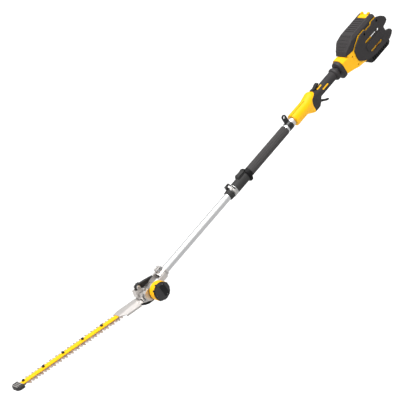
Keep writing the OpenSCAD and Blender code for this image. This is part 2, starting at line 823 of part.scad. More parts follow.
// Whole form of the front handle, shrunk by the given wall
module handle_form(inset) {
    r = handle_d / 2 - inset;
    union() {
        hull() {
            bar_x(handle_front_x + inset, handle_front_x + 4, r - 2, $fn = 40);
            bar_x(handle_front_x + 4, 120, r, $fn = 40);
            translate([160, 0, 9.5]) rotate([0, 90, 0]) cylinder(h = 10, r = r - 1, center = true, $fn = 40);
        }
        hull() {
            translate([160, 0, 9.5]) rotate([0, 90, 0]) cylinder(h = 10, r = r - 1, center = true, $fn = 40);
            translate([handle_rear_x - inset - 1, 0, grip_z]) rotate([0, 90, 0])
                cylinder(h = 1, r = grip_d / 2 - inset, $fn = 40);
        }
        hull() {
            translate([100, 0, -6]) rotate([0, 90, 0]) cylinder(h = 2, r = r - 6, $fn = 40);
            translate([140, 0, 4]) rotate([0, 90, 0]) cylinder(h = 34, r = r - 4, $fn = 40);
            translate([140, 0, -33.5]) rotate([0, 90, 0]) cylinder(h = 34, r = 21.5 - inset, $fn = 40);
            translate([196, 0, -24]) rotate([0, 90, 0]) cylinder(h = 2, r = 17 - inset, $fn = 40);
        }
    }
}

// Side outline in front of the slanted joint between handle and trigger housing
module handle_joint() {
    polygon([[0, -80], [141, -80], [142, -40], [139, -12], [142, 6], [150, 16],
             [164, 20.5], [177, 24], [182, 28], [182, 80], [0, 80]]);
}

// One half of the yellow front handle
module handle_half() {
    difference() {
        intersection() {
            handle_form(0);
            side_plate(-60, 60) handle_joint();
            box([0, 0.05, -80], [220, 60, 80]);
        }
        handle_form(wall);
        bar_x(0, 220, upper_tube_r);
        lock_off_slot();
    }
}

// Room for the lock-off lever in the top of the handle
module lock_off_slot() {
    box([178, -8.5, 8], [230, 8.5, 50]);
}

module handle_shell_left() {
    color(yellow) on_pole() mirror([0, 1, 0]) handle_half();
}

module handle_shell_right() {
    color(yellow) on_pole() handle_half();
}

// Dark housing behind the handle that holds the trigger
module trigger_housing() {
    color(dark_grey) on_pole() difference() {
        handle_form(0);
        translate([0.3, 0, 0]) side_plate(-60, 60) handle_joint();
        handle_form(wall);
        translate([0, 0, grip_z]) bar_x(180, handle_rear_x + cut, 14);
        box([178, -6.5, -70], [230, 6.5, -26]);
        lock_off_slot();
        small_pin(trigger_pivot);
        small_pin(lock_off_pivot);
    }
}

// Cross pin of the trigger or the lock-off lever
module small_pin(pivot) {
    translate([pivot[0], 0, pivot[1]]) bar_y(-small_pin_half, small_pin_half, small_pin_r);
}

// Curved trigger lever
module trigger() {
    color(black) on_pole() difference() {
        union() {
            translate([trigger_pivot[0], 0, trigger_pivot[1]]) bar_y(-6, 6, 5);
            side_plate(-6, 6)
                polygon([[184, -38.5], [190, -29.5], [201, -35.5], [212, -43.5], [222, -51.5], [230, -57],
                         [237, -59], [239, -62], [235, -65.5], [227, -64], [217, -58], [207, -50.5]]);
        }
        translate([trigger_pivot[0], 0, trigger_pivot[1]]) bar_y(-8, 8, small_pin_r + pin_gap);
    }
}

module trigger_pin() {
    color(steel) on_pole() small_pin(trigger_pivot);
}

// Switch above the trigger
module trigger_switch() {
    color(black) on_pole() union() {
        box([158, -9, -24], [184, 9, -4]);
        box([162, -4, -30], [174, 4, -24]);
    }
}

// Safety lever on top of the grip
module lock_off_lever() {
    color(black) on_pole() difference() {
        union() {
            translate([lock_off_pivot[0], 0, lock_off_pivot[1]]) bar_y(-8, 8, 5);
            side_plate(-8, 8)
                polygon([[186, 12], [180, 26], [182, 32], [200, 29.5], [212, 34.5], [222, 37], [229, 35.5],
                         [233, 31.5], [227, 28.5], [213, 25], [200, 22], [194, 12]]);
        }
        translate([lock_off_pivot[0], 0, lock_off_pivot[1]]) bar_y(-10, 10, small_pin_r + pin_gap);
    }
}

module lock_off_pin() {
    color(steel) on_pole() small_pin(lock_off_pivot);
}

// Round grip for the rear hand
module rear_grip() {
    color(dark_grey) on_pole() translate([0, 0, grip_z])
        difference() {
            ring_x(handle_rear_x, flange2_x, grip_d / 2, grip_d / 2 - 4);
            box([handle_rear_x - cut, -8.5, 12], [handle_rear_x + 12, 8.5, 30]);
        }
}

// Yellow slots let into the grip
module grip_inlays() {
    r = grip_d / 2;
    color(yellow) on_pole() translate([0, 0, grip_z]) intersection() {
        ring_x(handle_rear_x, flange2_x, r + 0.8, r);
        union() {
            for (a = [-75, 75])
                rotate([a, 0, 0]) translate([244, 0, 0]) linear_extrude(r + 5) stadium(16, 3.2);
            for (a = [-24, 24])
                rotate([a, 0, 0]) translate([222.5, 0, 0]) linear_extrude(r + 5) stadium(12.5, 3.2);
        }
    }
}

// Round flange at the rear of the grip
module neck_flange() {
    color(dark_grey) on_pole() translate([flange2_x, 0, grip_z - 3]) rotate([0, 90, 0])
        rotate_extrude()
            polygon([[0, 0], [24, 0], [27.5, 3], [29.7, 7], [29.7, 14], [27.5, 18], [23, 21],
                     [19, 22], [19, 27], [0, 27]]);
}

// Deep collar between the flange and the power end
module neck_collar() {
    color(dark_grey) on_pole() union() {
        hull() {
            translate([neck_x, 0, 1]) bar_x(9, chassis_front_x - neck_x, 30, $fn = 40);
            translate([neck_x, 0, -24]) bar_x(9, chassis_front_x - neck_x, 30, $fn = 40);
            translate([neck_x, 0, -6]) bar_x(4, 8, 26, $fn = 40);
        }
        translate([neck_x, 0, grip_z - 3]) bar_x(0, 8, 19);
    }
}

// Width of the power end seen from above
module plan_outline(front_half, half) {
    polygon([[chassis_front_x - 6, -front_half], [408, -front_half - 2], [446, -half], [800, -half],
             [800, half], [446, half], [408, front_half + 2], [chassis_front_x - 6, front_half]]);
}

// Yellow body of the power end
module chassis() {
    half = battery_half;
    color(yellow) on_pole() difference() {
        intersection() {
            side_plate(-half, half) polygon(chassis_profile);
            translate([0, 0, -100]) linear_extrude(220) plan_outline(31, half);
            rotate([90, 0, 90]) linear_extrude(900)
                polygon([[-half, 70], [-half, -46], [-half + 16, -70],
                         [half - 16, -70], [half, -46], [half, 70]]);
        }
        box([449, -half + 5, -20], [627, half - 5, 90]);
        box([407, -27, -26], [446, 27, 40]);
        box([456, -34, -60], [552, 34, -24]);
        box([560, -half - cut, -62], [chassis_rear_x + cut, half + cut, 44]);
        for (side = [-1, 1])
            translate([chassis_front_x - 10, 0, 0]) rotate([90, 0, 90]) linear_extrude(52)
                polygon([[side * 17, 33], [side * 17, 50], [side * 40, 50], [side * 40, 10]]);
        translate([0, 0, grip_z]) bar_x(chassis_front_x - 10, 400, 12);
        for (p = chassis_screw_places())
            translate([p[0], 0, p[1]]) bar_y(-half - cut, -half + 14, 3.4);
    }
}

// Places of the chassis screws seen from the side
function chassis_screw_places() = [[428, 8], [436, -40]];

module chassis_screws() {
    color(steel) on_pole() for (p = chassis_screw_places())
        translate([p[0], 0, p[1]]) bar_y(-battery_half + 11, -battery_half + 14, 3.4);
}

// Slotted guard as it stands on the near side, with its lower slot at the given place
module side_guard_shape(slot_place, slot_half, slot_r) {
    color(dark_grey) on_pole() difference() {
        union() {
            side_plate(-guard_y - guard_t, -guard_y) polygon(guard_profile);
            side_plate(-guard_y - guard_t - 2.5, -guard_y - guard_t + cut)
                polygon([[506, -31], [506, -6], [518, -3], [618, -3], [618, -31]]);
        }
        side_plate(-guard_y - guard_t - 5, -guard_y + 1) union() {
            translate([565, 10]) stadium(44, 6);
            translate(slot_place) stadium(slot_half, slot_r);
        }
        side_plate(-guard_y - guard_t - 5, -guard_y - 1)
            for (x = [533, 624]) translate([x, 45]) square(9, center = true);
    }
}

module side_guard_left() {
    side_guard_shape([560, -43], 34, 6);
}

module side_guard_right() {
    mirror([0, 1, 0]) side_guard_shape([593, -47], 62, 9);
}

// Finned foot that the power end rests on
module rest_foot() {
    color(black) on_pole() difference() {
        side_plate(-30, 30)
            polygon([[490, -68], [632, -68], [648, -78], [646, -92], [634, -foot_drop], [520, -foot_drop],
                     [506, -97], [488, -74]]);
        for (i = [0:8])
            box([522 + i * 12.5, -31, -foot_drop + 5], [528 + i * 12.5, -20, -74]);
        for (i = [0:8])
            box([522 + i * 12.5, 20, -foot_drop + 5], [528 + i * 12.5, 31, -74]);
    }
}

// Motor controller board under the battery
module control_board() {
    color("#2f6b3c") on_pole() union() {
        box([462, -30, -40], [545, 30, -38]);
        for (i = [0:2]) box([470 + i * 24, -20, -38], [486 + i * 24, 20, -27]);
        for (y = [-24, 20]) box([470, y, -60], [474, y + 4, -39]);
    }
}

// Contacts that the battery drops onto
module terminal_block() {
    color(black) on_pole() union() {
        box([490, -22, -20], [540, 22, 0]);
        for (y = [-15, -5, 5, 15]) box([500, y - 0.6, -1], [530, y + 0.6, 11]);
    }
}

// Battery pack with its ribbed hood
module battery_case() {
    half = battery_half - 0.6;
    color(dark_grey) on_pole() difference() {
        union() {
            intersection() {
                translate([0, 0, slip_gap]) side_plate(-half, half) polygon(hood_profile);
                translate([0, 0, -100]) linear_extrude(220) plan_outline(29, half);
                rotate([90, 0, 90]) linear_extrude(900)
                    polygon([[-half, 0], [-half, 68], [-half + 9, battery_top + 1],
                             [half - 9, battery_top + 1], [half, 68], [half, 0]]);
            }
            box([452, -half + 7, 5], [622, half - 7, 64]);
        }
        for (i = [0:6])
            box([505 + i * 13, -30, battery_top - 1.2], [509 + i * 13, 30, battery_top + 9]);
        box([594, -26.5, 66], [640, 26.5, 90]);
        box([458, -cell_half_l, 18], [590, cell_half_l, 64]);
        for (y = [-15, -5, 5, 15]) box([480, y - 2, 4], [560, y + 2, 14]);
    }
}

// Cells in the pack
module battery_cells() {
    color("#6f8fb0") on_pole() for (row = [0, 1], i = [0:5])
        translate([470 + i * 21.5, 0, 29 + row * 23]) bar_y(-cell_half_l, cell_half_l, 9.5);
}

// Yellow latch at the rear of the pack
module battery_latch() {
    color(yellow) on_pole() difference() {
        union() {
            box([599, -26, 66.5], [631, 26, battery_top]);
            box([622, -26, battery_top - 1], [634, -14, battery_top + 5]);
            box([622, 14, battery_top - 1], [634, 26, battery_top + 5]);
        }
        box([624, -14, battery_top - 7], [640, 14, battery_top + 9]);
    }
}

gear_case();
crank_cover();
gear_cover();
blade_shroud();
case_screws();
motor_housing();
motor_cap();
cap_screws();
motor_stator();
motor_rotor();
motor_pinion();
motor_bearings();
layshaft();
reduction_gear();
crown_pinion();
layshaft_bearing();
crank();
upper_blade();
lower_blade();
guide_bar();
blade_bolts();
blade_nuts();
tip_shoe();
lock_lever();
lock_lever_pin();
lower_tube();
pivot_bracket();
bracket_bolts();
pivot_cap();
upper_tube();
pole_sleeve();
clamp_collar();
clamp_band();
clamp_lever();
clamp_lever_pin();
strap_hanger();
hanger_screw();
handle_shell_left();
handle_shell_right();
trigger_housing();
trigger();
trigger_pin();
trigger_switch();
lock_off_lever();
lock_off_pin();
rear_grip();
grip_inlays();
neck_flange();
neck_collar();
chassis();
chassis_screws();
side_guard_left();
side_guard_right();
rest_foot();
control_board();
terminal_block();
battery_case();
battery_cells();
battery_latch();
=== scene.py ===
"""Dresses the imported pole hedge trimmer: finishes, finer pieces, studio and camera."""

import logging
import math
from dataclasses import dataclass, field
from enum import Enum

import bmesh
import bpy
from mathutils import Matrix, Vector


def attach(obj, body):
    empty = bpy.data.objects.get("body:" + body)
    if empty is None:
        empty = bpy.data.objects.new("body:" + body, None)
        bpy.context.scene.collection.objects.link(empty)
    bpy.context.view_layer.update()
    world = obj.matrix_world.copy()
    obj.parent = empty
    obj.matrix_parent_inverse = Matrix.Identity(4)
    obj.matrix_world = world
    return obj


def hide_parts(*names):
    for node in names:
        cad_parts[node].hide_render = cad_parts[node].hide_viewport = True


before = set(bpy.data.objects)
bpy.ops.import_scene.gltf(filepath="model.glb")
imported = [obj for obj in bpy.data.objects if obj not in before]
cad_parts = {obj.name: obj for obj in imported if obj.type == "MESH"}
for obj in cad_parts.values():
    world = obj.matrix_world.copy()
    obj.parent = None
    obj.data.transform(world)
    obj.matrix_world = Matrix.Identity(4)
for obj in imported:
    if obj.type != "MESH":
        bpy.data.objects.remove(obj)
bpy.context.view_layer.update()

log = logging.getLogger("pole_trimmer")

Spot = tuple[float, float]
Point = tuple[float, float, float]
Colour = tuple[float, float, float, float]
Outline = list[Spot]
Tree = bpy.types.NodeTree
Socket = bpy.types.NodeSocket

# One millimetre in the frame's metres
MM = 0.001
# Height of the strap eye over the pole's axis, the head's pivot along the pole, and its tilt in degrees
EYE_RISE = 46.0
PIVOT_X = -955.0
HEAD_TILT = 15.5
# Frames in millimetres: the pole's axis under the strap eye, and the head swung up about its pivot
POLE = Matrix.Translation((0, 0, -EYE_RISE))
HEAD = POLE @ Matrix.Translation((PIVOT_X, 0, 0)) @ Matrix.Rotation(math.radians(HEAD_TILT), 4, "Y")
# The head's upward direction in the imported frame
HEAD_UP = (0.2672, 0, 0.9636)
# Points closer than this are one point, in mm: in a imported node's mesh, and in a new form
PACKED_MERGE = 0.005
MERGE = 0.0005
# Packed faces that meet at less than this angle in degrees are joined
FLAT_ANGLE = 0.5
# Edges sharper than this angle in degrees stay sharp in the shading
SHARP_ANGLE = 32.0
# Limit in degrees that rounds square edges and leaves the facets of a curve alone
SQUARE_EDGE = 60.0
# The largest share of a side that one rounded corner may take
CORNER_SHARE = 0.45
# Straight pieces round a plain rod
ROD_SIDES = 48


class Body(Enum):
    """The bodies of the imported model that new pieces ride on."""

    POLE = "pole"
    MAST = "mast"
    HEAD = "head"
    UPPER_BLADE = "upper_blade"
    LOWER_BLADE = "lower_blade"
    LOCK_LEVER = "lock_lever"
    CLAMP_LEVER = "clamp_lever"
    TRIGGER = "trigger"
    LOCK_OFF = "lock_off_lever"
    BATTERY = "battery"
    LATCH = "battery_latch"


class Slot(Enum):
    """The record's material slots, as the finishes list them."""

    YELLOW = "yellow_plastic"
    PAINT = "yellow_paint"
    DARK = "dark_plastic"
    BLACK = "black_plastic"
    CAST = "cast_aluminium"
    TUBE = "tube_aluminium"
    FOAM = "foam"
    BLACK_STEEL = "black_steel"
    BLADE = "blade_steel"


class Axis(Enum):
    """The axis that an outline is drawn out along or turned about."""

    X = 0
    Y = 1
    Z = 2

    def point(self, u: float, v: float, along: float) -> Point:
        """Place a point of an outline at a distance along the axis."""
        if self is Axis.X:
            return along, u, v
        if self is Axis.Y:
            return u, along, v
        return u, v, along


def softened(outline: Outline, radius: float, steps: int = 4) -> Outline:
    """Round the corners of a closed outline, apart from those on the turning axis.

    Args:
        outline: corners in order.
        radius: how far each rounding starts from its corner.
        steps: number of straight pieces in each rounding.

    Returns:
        The outline with its corners rounded.
    """
    result: Outline = []
    for i, corner in enumerate(outline):
        if abs(corner[1]) < MERGE:
            result.append(corner)
            continue
        here = Vector(corner)
        before = Vector(outline[i - 1]) - here
        after = Vector(outline[(i + 1) % len(outline)]) - here
        start = here + before.normalized() * min(radius, before.length * CORNER_SHARE)
        end = here + after.normalized() * min(radius, after.length * CORNER_SHARE)
        for step in range(steps + 1):
            t = step / steps
            result.append(tuple(start.lerp(here, t).lerp(here.lerp(end, t), t)))
    return result


def arc(centre: Spot, radius: float, first: float, last: float, steps: int) -> Outline:
    """Points on a circle between two angles in degrees, both ends included."""
    angles = [math.radians(first + (last - first) * i / steps) for i in range(steps + 1)]
    return [(centre[0] + radius * math.cos(a), centre[1] + radius * math.sin(a)) for a in angles]


def stadium(centre: Spot, half: float, radius: float, steps: int = 14) -> Outline:
    """A long slot with round ends, drawn along the first coordinate."""
    u, v = centre
    return arc((u + half, v), radius, -90, 90, steps) + arc((u - half, v), radius, 90, 270, steps)


def rectangle(low: Spot, high: Spot) -> Outline:
    """Corners of an upright rectangle between two opposite ones."""
    return [low, (high[0], low[1]), high, (low[0], high[1])]


def sleeve_profile(ends: Spot, inner: float, outer: float, radius: float, steps: int = 3) -> Outline:
    """Profile of a plain sleeve between its two ends, with softened corners."""
    return softened(rectangle((ends[0], inner), (ends[1], outer)), radius, steps)


def placed(name: str, data: bpy.types.ID) -> bpy.types.Object:
    """Make an object of some data and put it in the scene."""
    made = bpy.data.objects.new(name, data)
    bpy.context.scene.collection.objects.link(made)
    return made


def mesh_of(form: bmesh.types.BMesh, name: str) -> bpy.types.Mesh:
    """Turn an edited form into mesh data, and use the form up."""
    data = bpy.data.meshes.new(name)
    form.to_mesh(data)
    form.free()
    return data


class Form:
    """A closed mesh in millimetres, in the frame of the pole or of the swung head."""

    def __init__(self, place: Matrix) -> None:
        """Start empty in the given frame."""
        self.place = place
        self.mesh = bmesh.new()

    @classmethod
    def copy(cls, node: str) -> "Form":
        """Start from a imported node, with its loose triangles joined into clean faces."""
        form = cls(Matrix.Identity(4))
        form.mesh.from_mesh(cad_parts[node].data)
        bmesh.ops.scale(form.mesh, vec=(1 / MM,) * 3, verts=form.mesh.verts)
        bmesh.ops.remove_doubles(form.mesh, verts=form.mesh.verts, dist=PACKED_MERGE)
        bmesh.ops.dissolve_limit(form.mesh, angle_limit=math.radians(FLAT_ANGLE), verts=form.mesh.verts,
                                 edges=form.mesh.edges)
        return form.sealed()

    def sealed(self) -> "Form":
        """Merge points that coincide and turn all faces outwards."""
        bmesh.ops.remove_doubles(self.mesh, verts=self.mesh.verts, dist=MERGE)
        bmesh.ops.dissolve_degenerate(self.mesh, edges=self.mesh.edges, dist=MERGE)
        bmesh.ops.recalc_face_normals(self.mesh, faces=self.mesh.faces)
        return self

    def loft(self, loops: list[list[Point]], ring: bool = False) -> "Form":
        """Skin a row of loops that have the same number of points.

        Args:
            loops: the loops in order.
            ring: whether the last loop joins the first, instead of both being capped.

        Returns:
            This form.
        """
        rows = [[self.mesh.verts.new(point) for point in loop] for loop in loops]
        for row, following in zip(rows, rows[1:] + rows[:1] if ring else rows[1:]):
            for i in range(len(row)):
                self.mesh.faces.new((row[i - 1], row[i], following[i], following[i - 1]))
        if not ring:
            self.mesh.faces.new(rows[0])
            self.mesh.faces.new(rows[-1])
        return self.sealed()

    def prism(self, outline: Outline, axis: Axis, low: float, high: float) -> "Form":
        """Draw an outline out along an axis."""
        return self.loft([[axis.point(u, v, along) for u, v in outline] for along in (low, high)])

    def block(self, low: Point, high: Point) -> "Form":
        """Add a box between two corners."""
        return self.prism(rectangle(low[:2], high[:2]), Axis.Z, low[2], high[2])

    def spun(self, profile: Outline, axis: Axis, centre: Spot = (0, 0), steps: int = 96) -> "Form":
        """Turn a closed profile once round an axis.

        Args:
            profile: corners as distance along the axis and radius.
            axis: the turning axis.
            centre: where the axis stands in the plane square to it.
            steps: number of straight pieces round the circle.

        Returns:
            This form.
        """
        loops = []
        for i in range(steps):
            turn = 2 * math.pi * i / steps
            loops.append([axis.point(centre[0] + r * math.cos(turn), centre[1] + r * math.sin(turn), along)
                          for along, r in profile])
        return self.loft(loops, ring=True)

    def rod(self, low: float, high: float, radius: float, axis: Axis, centre: Spot = (0, 0)) -> "Form":
        """Add a plain round bar."""
        last = 360 - 360 / ROD_SIDES
        return self.prism(arc(centre, radius, 0, last, ROD_SIDES - 1), axis, low, high)

    def turned(self, degrees: float, axis: Axis) -> "Form":
        """Turn the form about an axis through the frame's origin."""
        turn = Matrix.Rotation(math.radians(degrees), 3, axis.name)
        bmesh.ops.rotate(self.mesh, cent=(0, 0, 0), matrix=turn, verts=self.mesh.verts)
        return self

    def mirrored(self) -> "Form":
        """Flip the form to the other side of the pole."""
        bmesh.ops.scale(self.mesh, vec=(1, -1, 1), verts=self.mesh.verts)
        return self.sealed()

    def add(self, other: "Form") -> "Form":
        """Take in another form that stands clear of this one."""
        spare = mesh_of(other.mesh, "spare")
        self.mesh.from_mesh(spare)
        bpy.data.meshes.remove(spare)
        return self

    def slice(self, point: Point, normal: Point) -> "Form":
        """Cut away what lies on the side of a plane that its normal points to."""
        cut = bmesh.ops.bisect_plane(
            self.mesh, geom=[*self.mesh.verts, *self.mesh.edges, *self.mesh.faces],
            plane_co=point, plane_no=normal, clear_outer=True)
        rim = [item for item in cut["geom_cut"] if isinstance(item, bmesh.types.BMEdge)]
        bmesh.ops.holes_fill(self.mesh, edges=rim)
        return self.sealed()

    def ease(self, width: float, steps: int = 3, limit: float = 35.0) -> "Form":
        """Round off every edge sharper than a limit in degrees."""
        sharp = [edge for edge in self.mesh.edges
                 if edge.is_manifold and math.degrees(edge.calc_face_angle()) > limit]
        bmesh.ops.bevel(self.mesh, geom=sharp, offset=width, offset_type="OFFSET", segments=steps,
                        profile=0.5, affect="EDGES", clamp_overlap=True, material=-1)
        return self.sealed()

    def plus(self, other: "Form") -> "Form":
        """Join another form to this one."""
        return self.combined(other, "UNION")

    def minus(self, other: "Form") -> "Form":
        """Cut another form out of this one."""
        return self.combined(other, "DIFFERENCE")

    def within(self, other: "Form") -> "Form":
        """Keep only what lies inside another form."""
        return self.combined(other, "INTERSECT")

    def combined(self, other: "Form", how: str) -> "Form":
        """Combine two solids exactly, and use the other one up.

        Args:
            other: the second solid, in the same frame.
            how: the kind of combination.

        Returns:
            This form.
        """
        trials = [placed("trial", mesh_of(form.mesh, "trial")) for form in (self, other)]
        step = trials[0].modifiers.new("combine", "BOOLEAN")
        step.operation = how
        step.solver = "EXACT"
        step.object = trials[1]
        solved = trials[0].evaluated_get(bpy.context.evaluated_depsgraph_get())
        self.mesh = bmesh.new()
        self.mesh.from_mesh(solved.to_mesh())
        solved.to_mesh_clear()
        for trial in trials:
            bpy.data.meshes.remove(trial.data)
        return self.sealed()

    def piece(self, node: str, body: Body, finish: "Finish", name: str = "") -> bpy.types.Object:
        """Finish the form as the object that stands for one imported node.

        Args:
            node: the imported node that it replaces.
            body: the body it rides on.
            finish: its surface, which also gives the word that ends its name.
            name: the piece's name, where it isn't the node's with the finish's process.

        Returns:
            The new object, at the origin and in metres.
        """
        bmesh.ops.transform(self.mesh, matrix=Matrix.Scale(MM, 4) @ self.place, verts=self.mesh.verts)
        for face in self.mesh.faces:
            face.smooth = True
        name = name or f"{node}_{finish.process}"
        data = mesh_of(self.mesh, name)
        data.set_sharp_from_angle(angle=math.radians(SHARP_ANGLE))
        data.materials.append(finish.material())
        made = placed(name, data)
        made.modifiers.new("even_shading", "WEIGHTED_NORMAL").keep_sharp = True
        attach(made, body.value)
        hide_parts(node)
        log.info("built %s: %d faces in %s", name, len(data.polygons), finish.name)
        return made


def linear(colour: str) -> Colour:
    """Turn an sRGB hex colour into linear light.

    Args:
        colour: six hex digits after a hash sign.

    Returns:
        Red, green, blue and a full alpha.
    """
    channels = [int(colour[i:i + 2], 16) / 255 for i in (1, 3, 5)]
    red, green, blue = [c / 12.92 if c <= 0.04045 else ((c + 0.055) / 1.055) ** 2.4 for c in channels]
    return red, green, blue, 1.0


def add_node(tree: Tree, kind: str, inputs: dict | None = None, **settings) -> bpy.types.Node:
    """Add one shader node with its settings, values and links.

    Args:
        tree: the node tree that takes the node.
        kind: Blender's name of the node type.
        inputs: sockets by name or number, each with a value or the output that feeds it.
        settings: properties of the node itself.

    Returns:
        The new node.
    """
    node = tree.nodes.new(kind)
    for name, value in settings.items():
        setattr(node, name, value)
    for key, value in (inputs or {}).items():
        if isinstance(value, Socket):
            tree.links.new(value, node.inputs[key])
        else:
            node.inputs[key].default_value = value
    return node


def mixed(tree: Tree, share: "Socket | float", first: "Socket | Colour", second: "Socket | Colour",
          blend: str = "MIX") -> Socket:
    """Mix two colours in the given share.

    Args:
        tree: the node tree.
        share: how much of the second colour shows.
        first: the colour underneath.
        second: the colour on top.
        blend: how the two are put together.

    Returns:
        The colour output.
    """
    return add_node(tree, "ShaderNodeMix", {0: share, 6: first, 7: second}, data_type="RGBA",
                    blend_type=blend).outputs[2]


@dataclass(frozen=True)
class Finish:
    """A surface: its two close colours, gloss, grain, edges paled by rub and painted highlight, and painted
    shade in crevices.
    """

    name: str
    colour: str
    shade: str
    roughness: float
    metallic: float = 0.0
    cloud_mm: float = 45.0
    grain_mm: float = 2.5
    grain_depth_mm: float = 0.12
    edge_mm: float = 1.0
    # Pale edges, partly rubbed and partly a painted edge highlight: their share and colour
    rub_and_highlight: float = 0.25
    rub_and_highlight_colour: str = "#8c8a88"
    sheen: float = 0.5
    painted_crevice_shade: float = 0.6
    # Painted shade: how much crevices and gaps between parts darken the colour, and within what distance in
    # mm
    painted_crevice_shade_mm: float = 7.0
    bump: float = 0.6
    gloss_swing: float = 0.08
    # Cosines between the rounded and the flat normal where the pale edge of rub and painted highlight starts
    # and where it is full
    rub_and_highlight_from: float = 0.97
    rub_and_highlight_full: float = 0.75
    # Share of open sky where the painted crevice shade is darkest and where it ends
    sky_shut: float = 0.25
    sky_open: float = 0.85
    # The record's slot and the word that ends a piece's name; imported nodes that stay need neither
    slot: Slot | None = None
    process: str = "moulded"

    def material(self) -> bpy.types.Material:
        """Give the finish's material, made once.

        Returns:
            The material with its node tree.
        """
        found = bpy.data.materials.get(self.name)
        if found:
            return found
        made = bpy.data.materials.new(self.name)
        made.use_nodes = True
        tree = made.node_tree
        tree.nodes.clear()
        place = add_node(tree, "ShaderNodeTexCoord").outputs["Object"]
        bevel = add_node(tree, "ShaderNodeBevel", {"Radius": self.edge_mm * MM}, samples=4)
        rounded = bevel.outputs["Normal"]
        grain = self.grain(tree, place)
        bump = add_node(tree, "ShaderNodeBump", {
            "Strength": self.bump, "Distance": self.grain_depth_mm * MM, "Height": grain, "Normal": rounded})
        gloss = add_node(tree, "ShaderNodeMapRange", {
            "Value": grain, "To Min": self.roughness - self.gloss_swing,
            "To Max": self.roughness + self.gloss_swing})
        shader = add_node(tree, "ShaderNodeBsdfPrincipled", {
            "Base Color": self.tint(tree, place, rounded), "Roughness": gloss.outputs[0],
            "Metallic": self.metallic, "Specular IOR Level": self.sheen, "Normal": bump.outputs[0]})
        add_node(tree, "ShaderNodeOutputMaterial", {"Surface": shader.outputs[0]})
        return made

    def grain(self, tree: Tree, place: Socket) -> Socket:
        """Fine even grain, as spark-eroded tool steel leaves it on a moulding."""
        return add_node(tree, "ShaderNodeTexNoise", {
            "Vector": place, "Scale": 1 / (self.grain_mm * MM), "Detail": 2.0}).outputs["Fac"]

    def body(self, tree: Tree, place: Socket) -> Socket:
        """The two close colours, mixed in soft clouds."""
        cloud = add_node(tree, "ShaderNodeTexNoise", {
            "Vector": place, "Scale": 1 / (self.cloud_mm * MM), "Detail": 3.0}).outputs["Fac"]
        return mixed(tree, cloud, linear(self.colour), linear(self.shade))

    def tint(self, tree: Tree, place: Socket, rounded: Socket) -> Socket:
        """Colour that wanders between the two tones, pales along edges as rub and painted edge highlight, and
        darkens in crevices as painted shade.

        Args:
            tree: the material's node tree.
            place: coordinates on the piece.
            rounded: the normal with its edges rounded off.

        Returns:
            The colour output.
        """
        flat = add_node(tree, "ShaderNodeNewGeometry").outputs["Normal"]
        match = add_node(tree, "ShaderNodeVectorMath", {0: rounded, 1: flat}, operation="DOT_PRODUCT")
        # Pale edges: partly rub, partly a painted edge highlight
        edge_rub_and_highlight = add_node(tree, "ShaderNodeMapRange", {
            "Value": match.outputs["Value"], "From Min": self.rub_and_highlight_from, "From Max": self.rub_and_highlight_full,
            "To Max": self.rub_and_highlight})
        rubbed_and_highlit = mixed(tree, edge_rub_and_highlight.outputs[0], self.body(tree, place), linear(self.rub_and_highlight_colour))
        # Painted shade: the colour darkens where little open sky is near, in crevices and gaps between parts
        open_sky = add_node(tree, "ShaderNodeAmbientOcclusion", {
            "Distance": self.painted_crevice_shade_mm * MM, "Normal": rounded}, samples=8).outputs["AO"]
        painted_shade_factor = add_node(tree, "ShaderNodeMapRange", {
            "Value": open_sky, "From Min": self.sky_shut, "From Max": self.sky_open,
            "To Min": 1 - self.painted_crevice_shade, "To Max": 1.0})
        return mixed(tree, 1.0, rubbed_and_highlit, painted_shade_factor.outputs[0], "MULTIPLY")


@dataclass(frozen=True)
class LinedFinish(Finish):
    """A metal with fine lines along one axis, left by drawing or grinding."""

    line_mm: Point = (120.0, 1.5, 1.5)

    def grain(self, tree: Tree, place: Socket) -> Socket:
        """Noise stretched along the tool's path."""
        stretched = add_node(tree, "ShaderNodeMapping", {
            "Vector": place, "Scale": tuple(1 / (size * MM) for size in self.line_mm)})
        return add_node(tree, "ShaderNodeTexNoise", {
            "Vector": stretched.outputs[0], "Scale": 1.0, "Detail": 3.0}).outputs["Fac"]


@dataclass(frozen=True)
class SplitToneFinish(Finish):
    """A piece that has a second colour past a station along one direction."""

    second: str = "#0c0c0d"
    toward: Point = (1.0, 0.0, 0.0)
    station_mm: float = 0.0

    def body(self, tree: Tree, place: Socket) -> Socket:
        """The first colour up to the station, and the second one behind it."""
        reach = add_node(tree, "ShaderNodeVectorMath", {0: place, 1: self.toward}, operation="DOT_PRODUCT")
        behind = add_node(tree, "ShaderNodeMath", {
            0: reach.outputs["Value"], 1: self.station_mm * MM}, operation="GREATER_THAN")
        return mixed(tree, behind.outputs[0], super().body(tree, place), linear(self.second))


# Glass-filled nylon, moulded in yellow: a satin skin, slightly deeper in the clouds of the flow
yellow_moulding = Finish("yellow_nylon_moulded", "#ffc000", "#ffb900", 0.42, rub_and_highlight=0.10, rub_and_highlight_colour="#ffe98a",
                         sheen=0.2, painted_crevice_shade=0.55, painted_crevice_shade_mm=5, slot=Slot.YELLOW)
# Powder coat on the steel bar: smoother, with pale edges, partly rubbed and partly a painted edge highlight
yellow_coat = Finish("yellow_powder_coat", "#ffc400", "#fcba00", 0.38, cloud_mm=60, rub_and_highlight=0.2,
                     rub_and_highlight_colour="#f4dc80", sheen=0.2, painted_crevice_shade=0.3, slot=Slot.PAINT, process="painted")
# The same nylon in warm dark grey, with a matt spark-eroded grain
dark_moulding = Finish("dark_nylon_moulded", "#312e2f", "#2a2728", 0.5, rub_and_highlight=0.35, rub_and_highlight_colour="#6c6866",
                       sheen=0.3, painted_crevice_shade=0.85, slot=Slot.DARK)
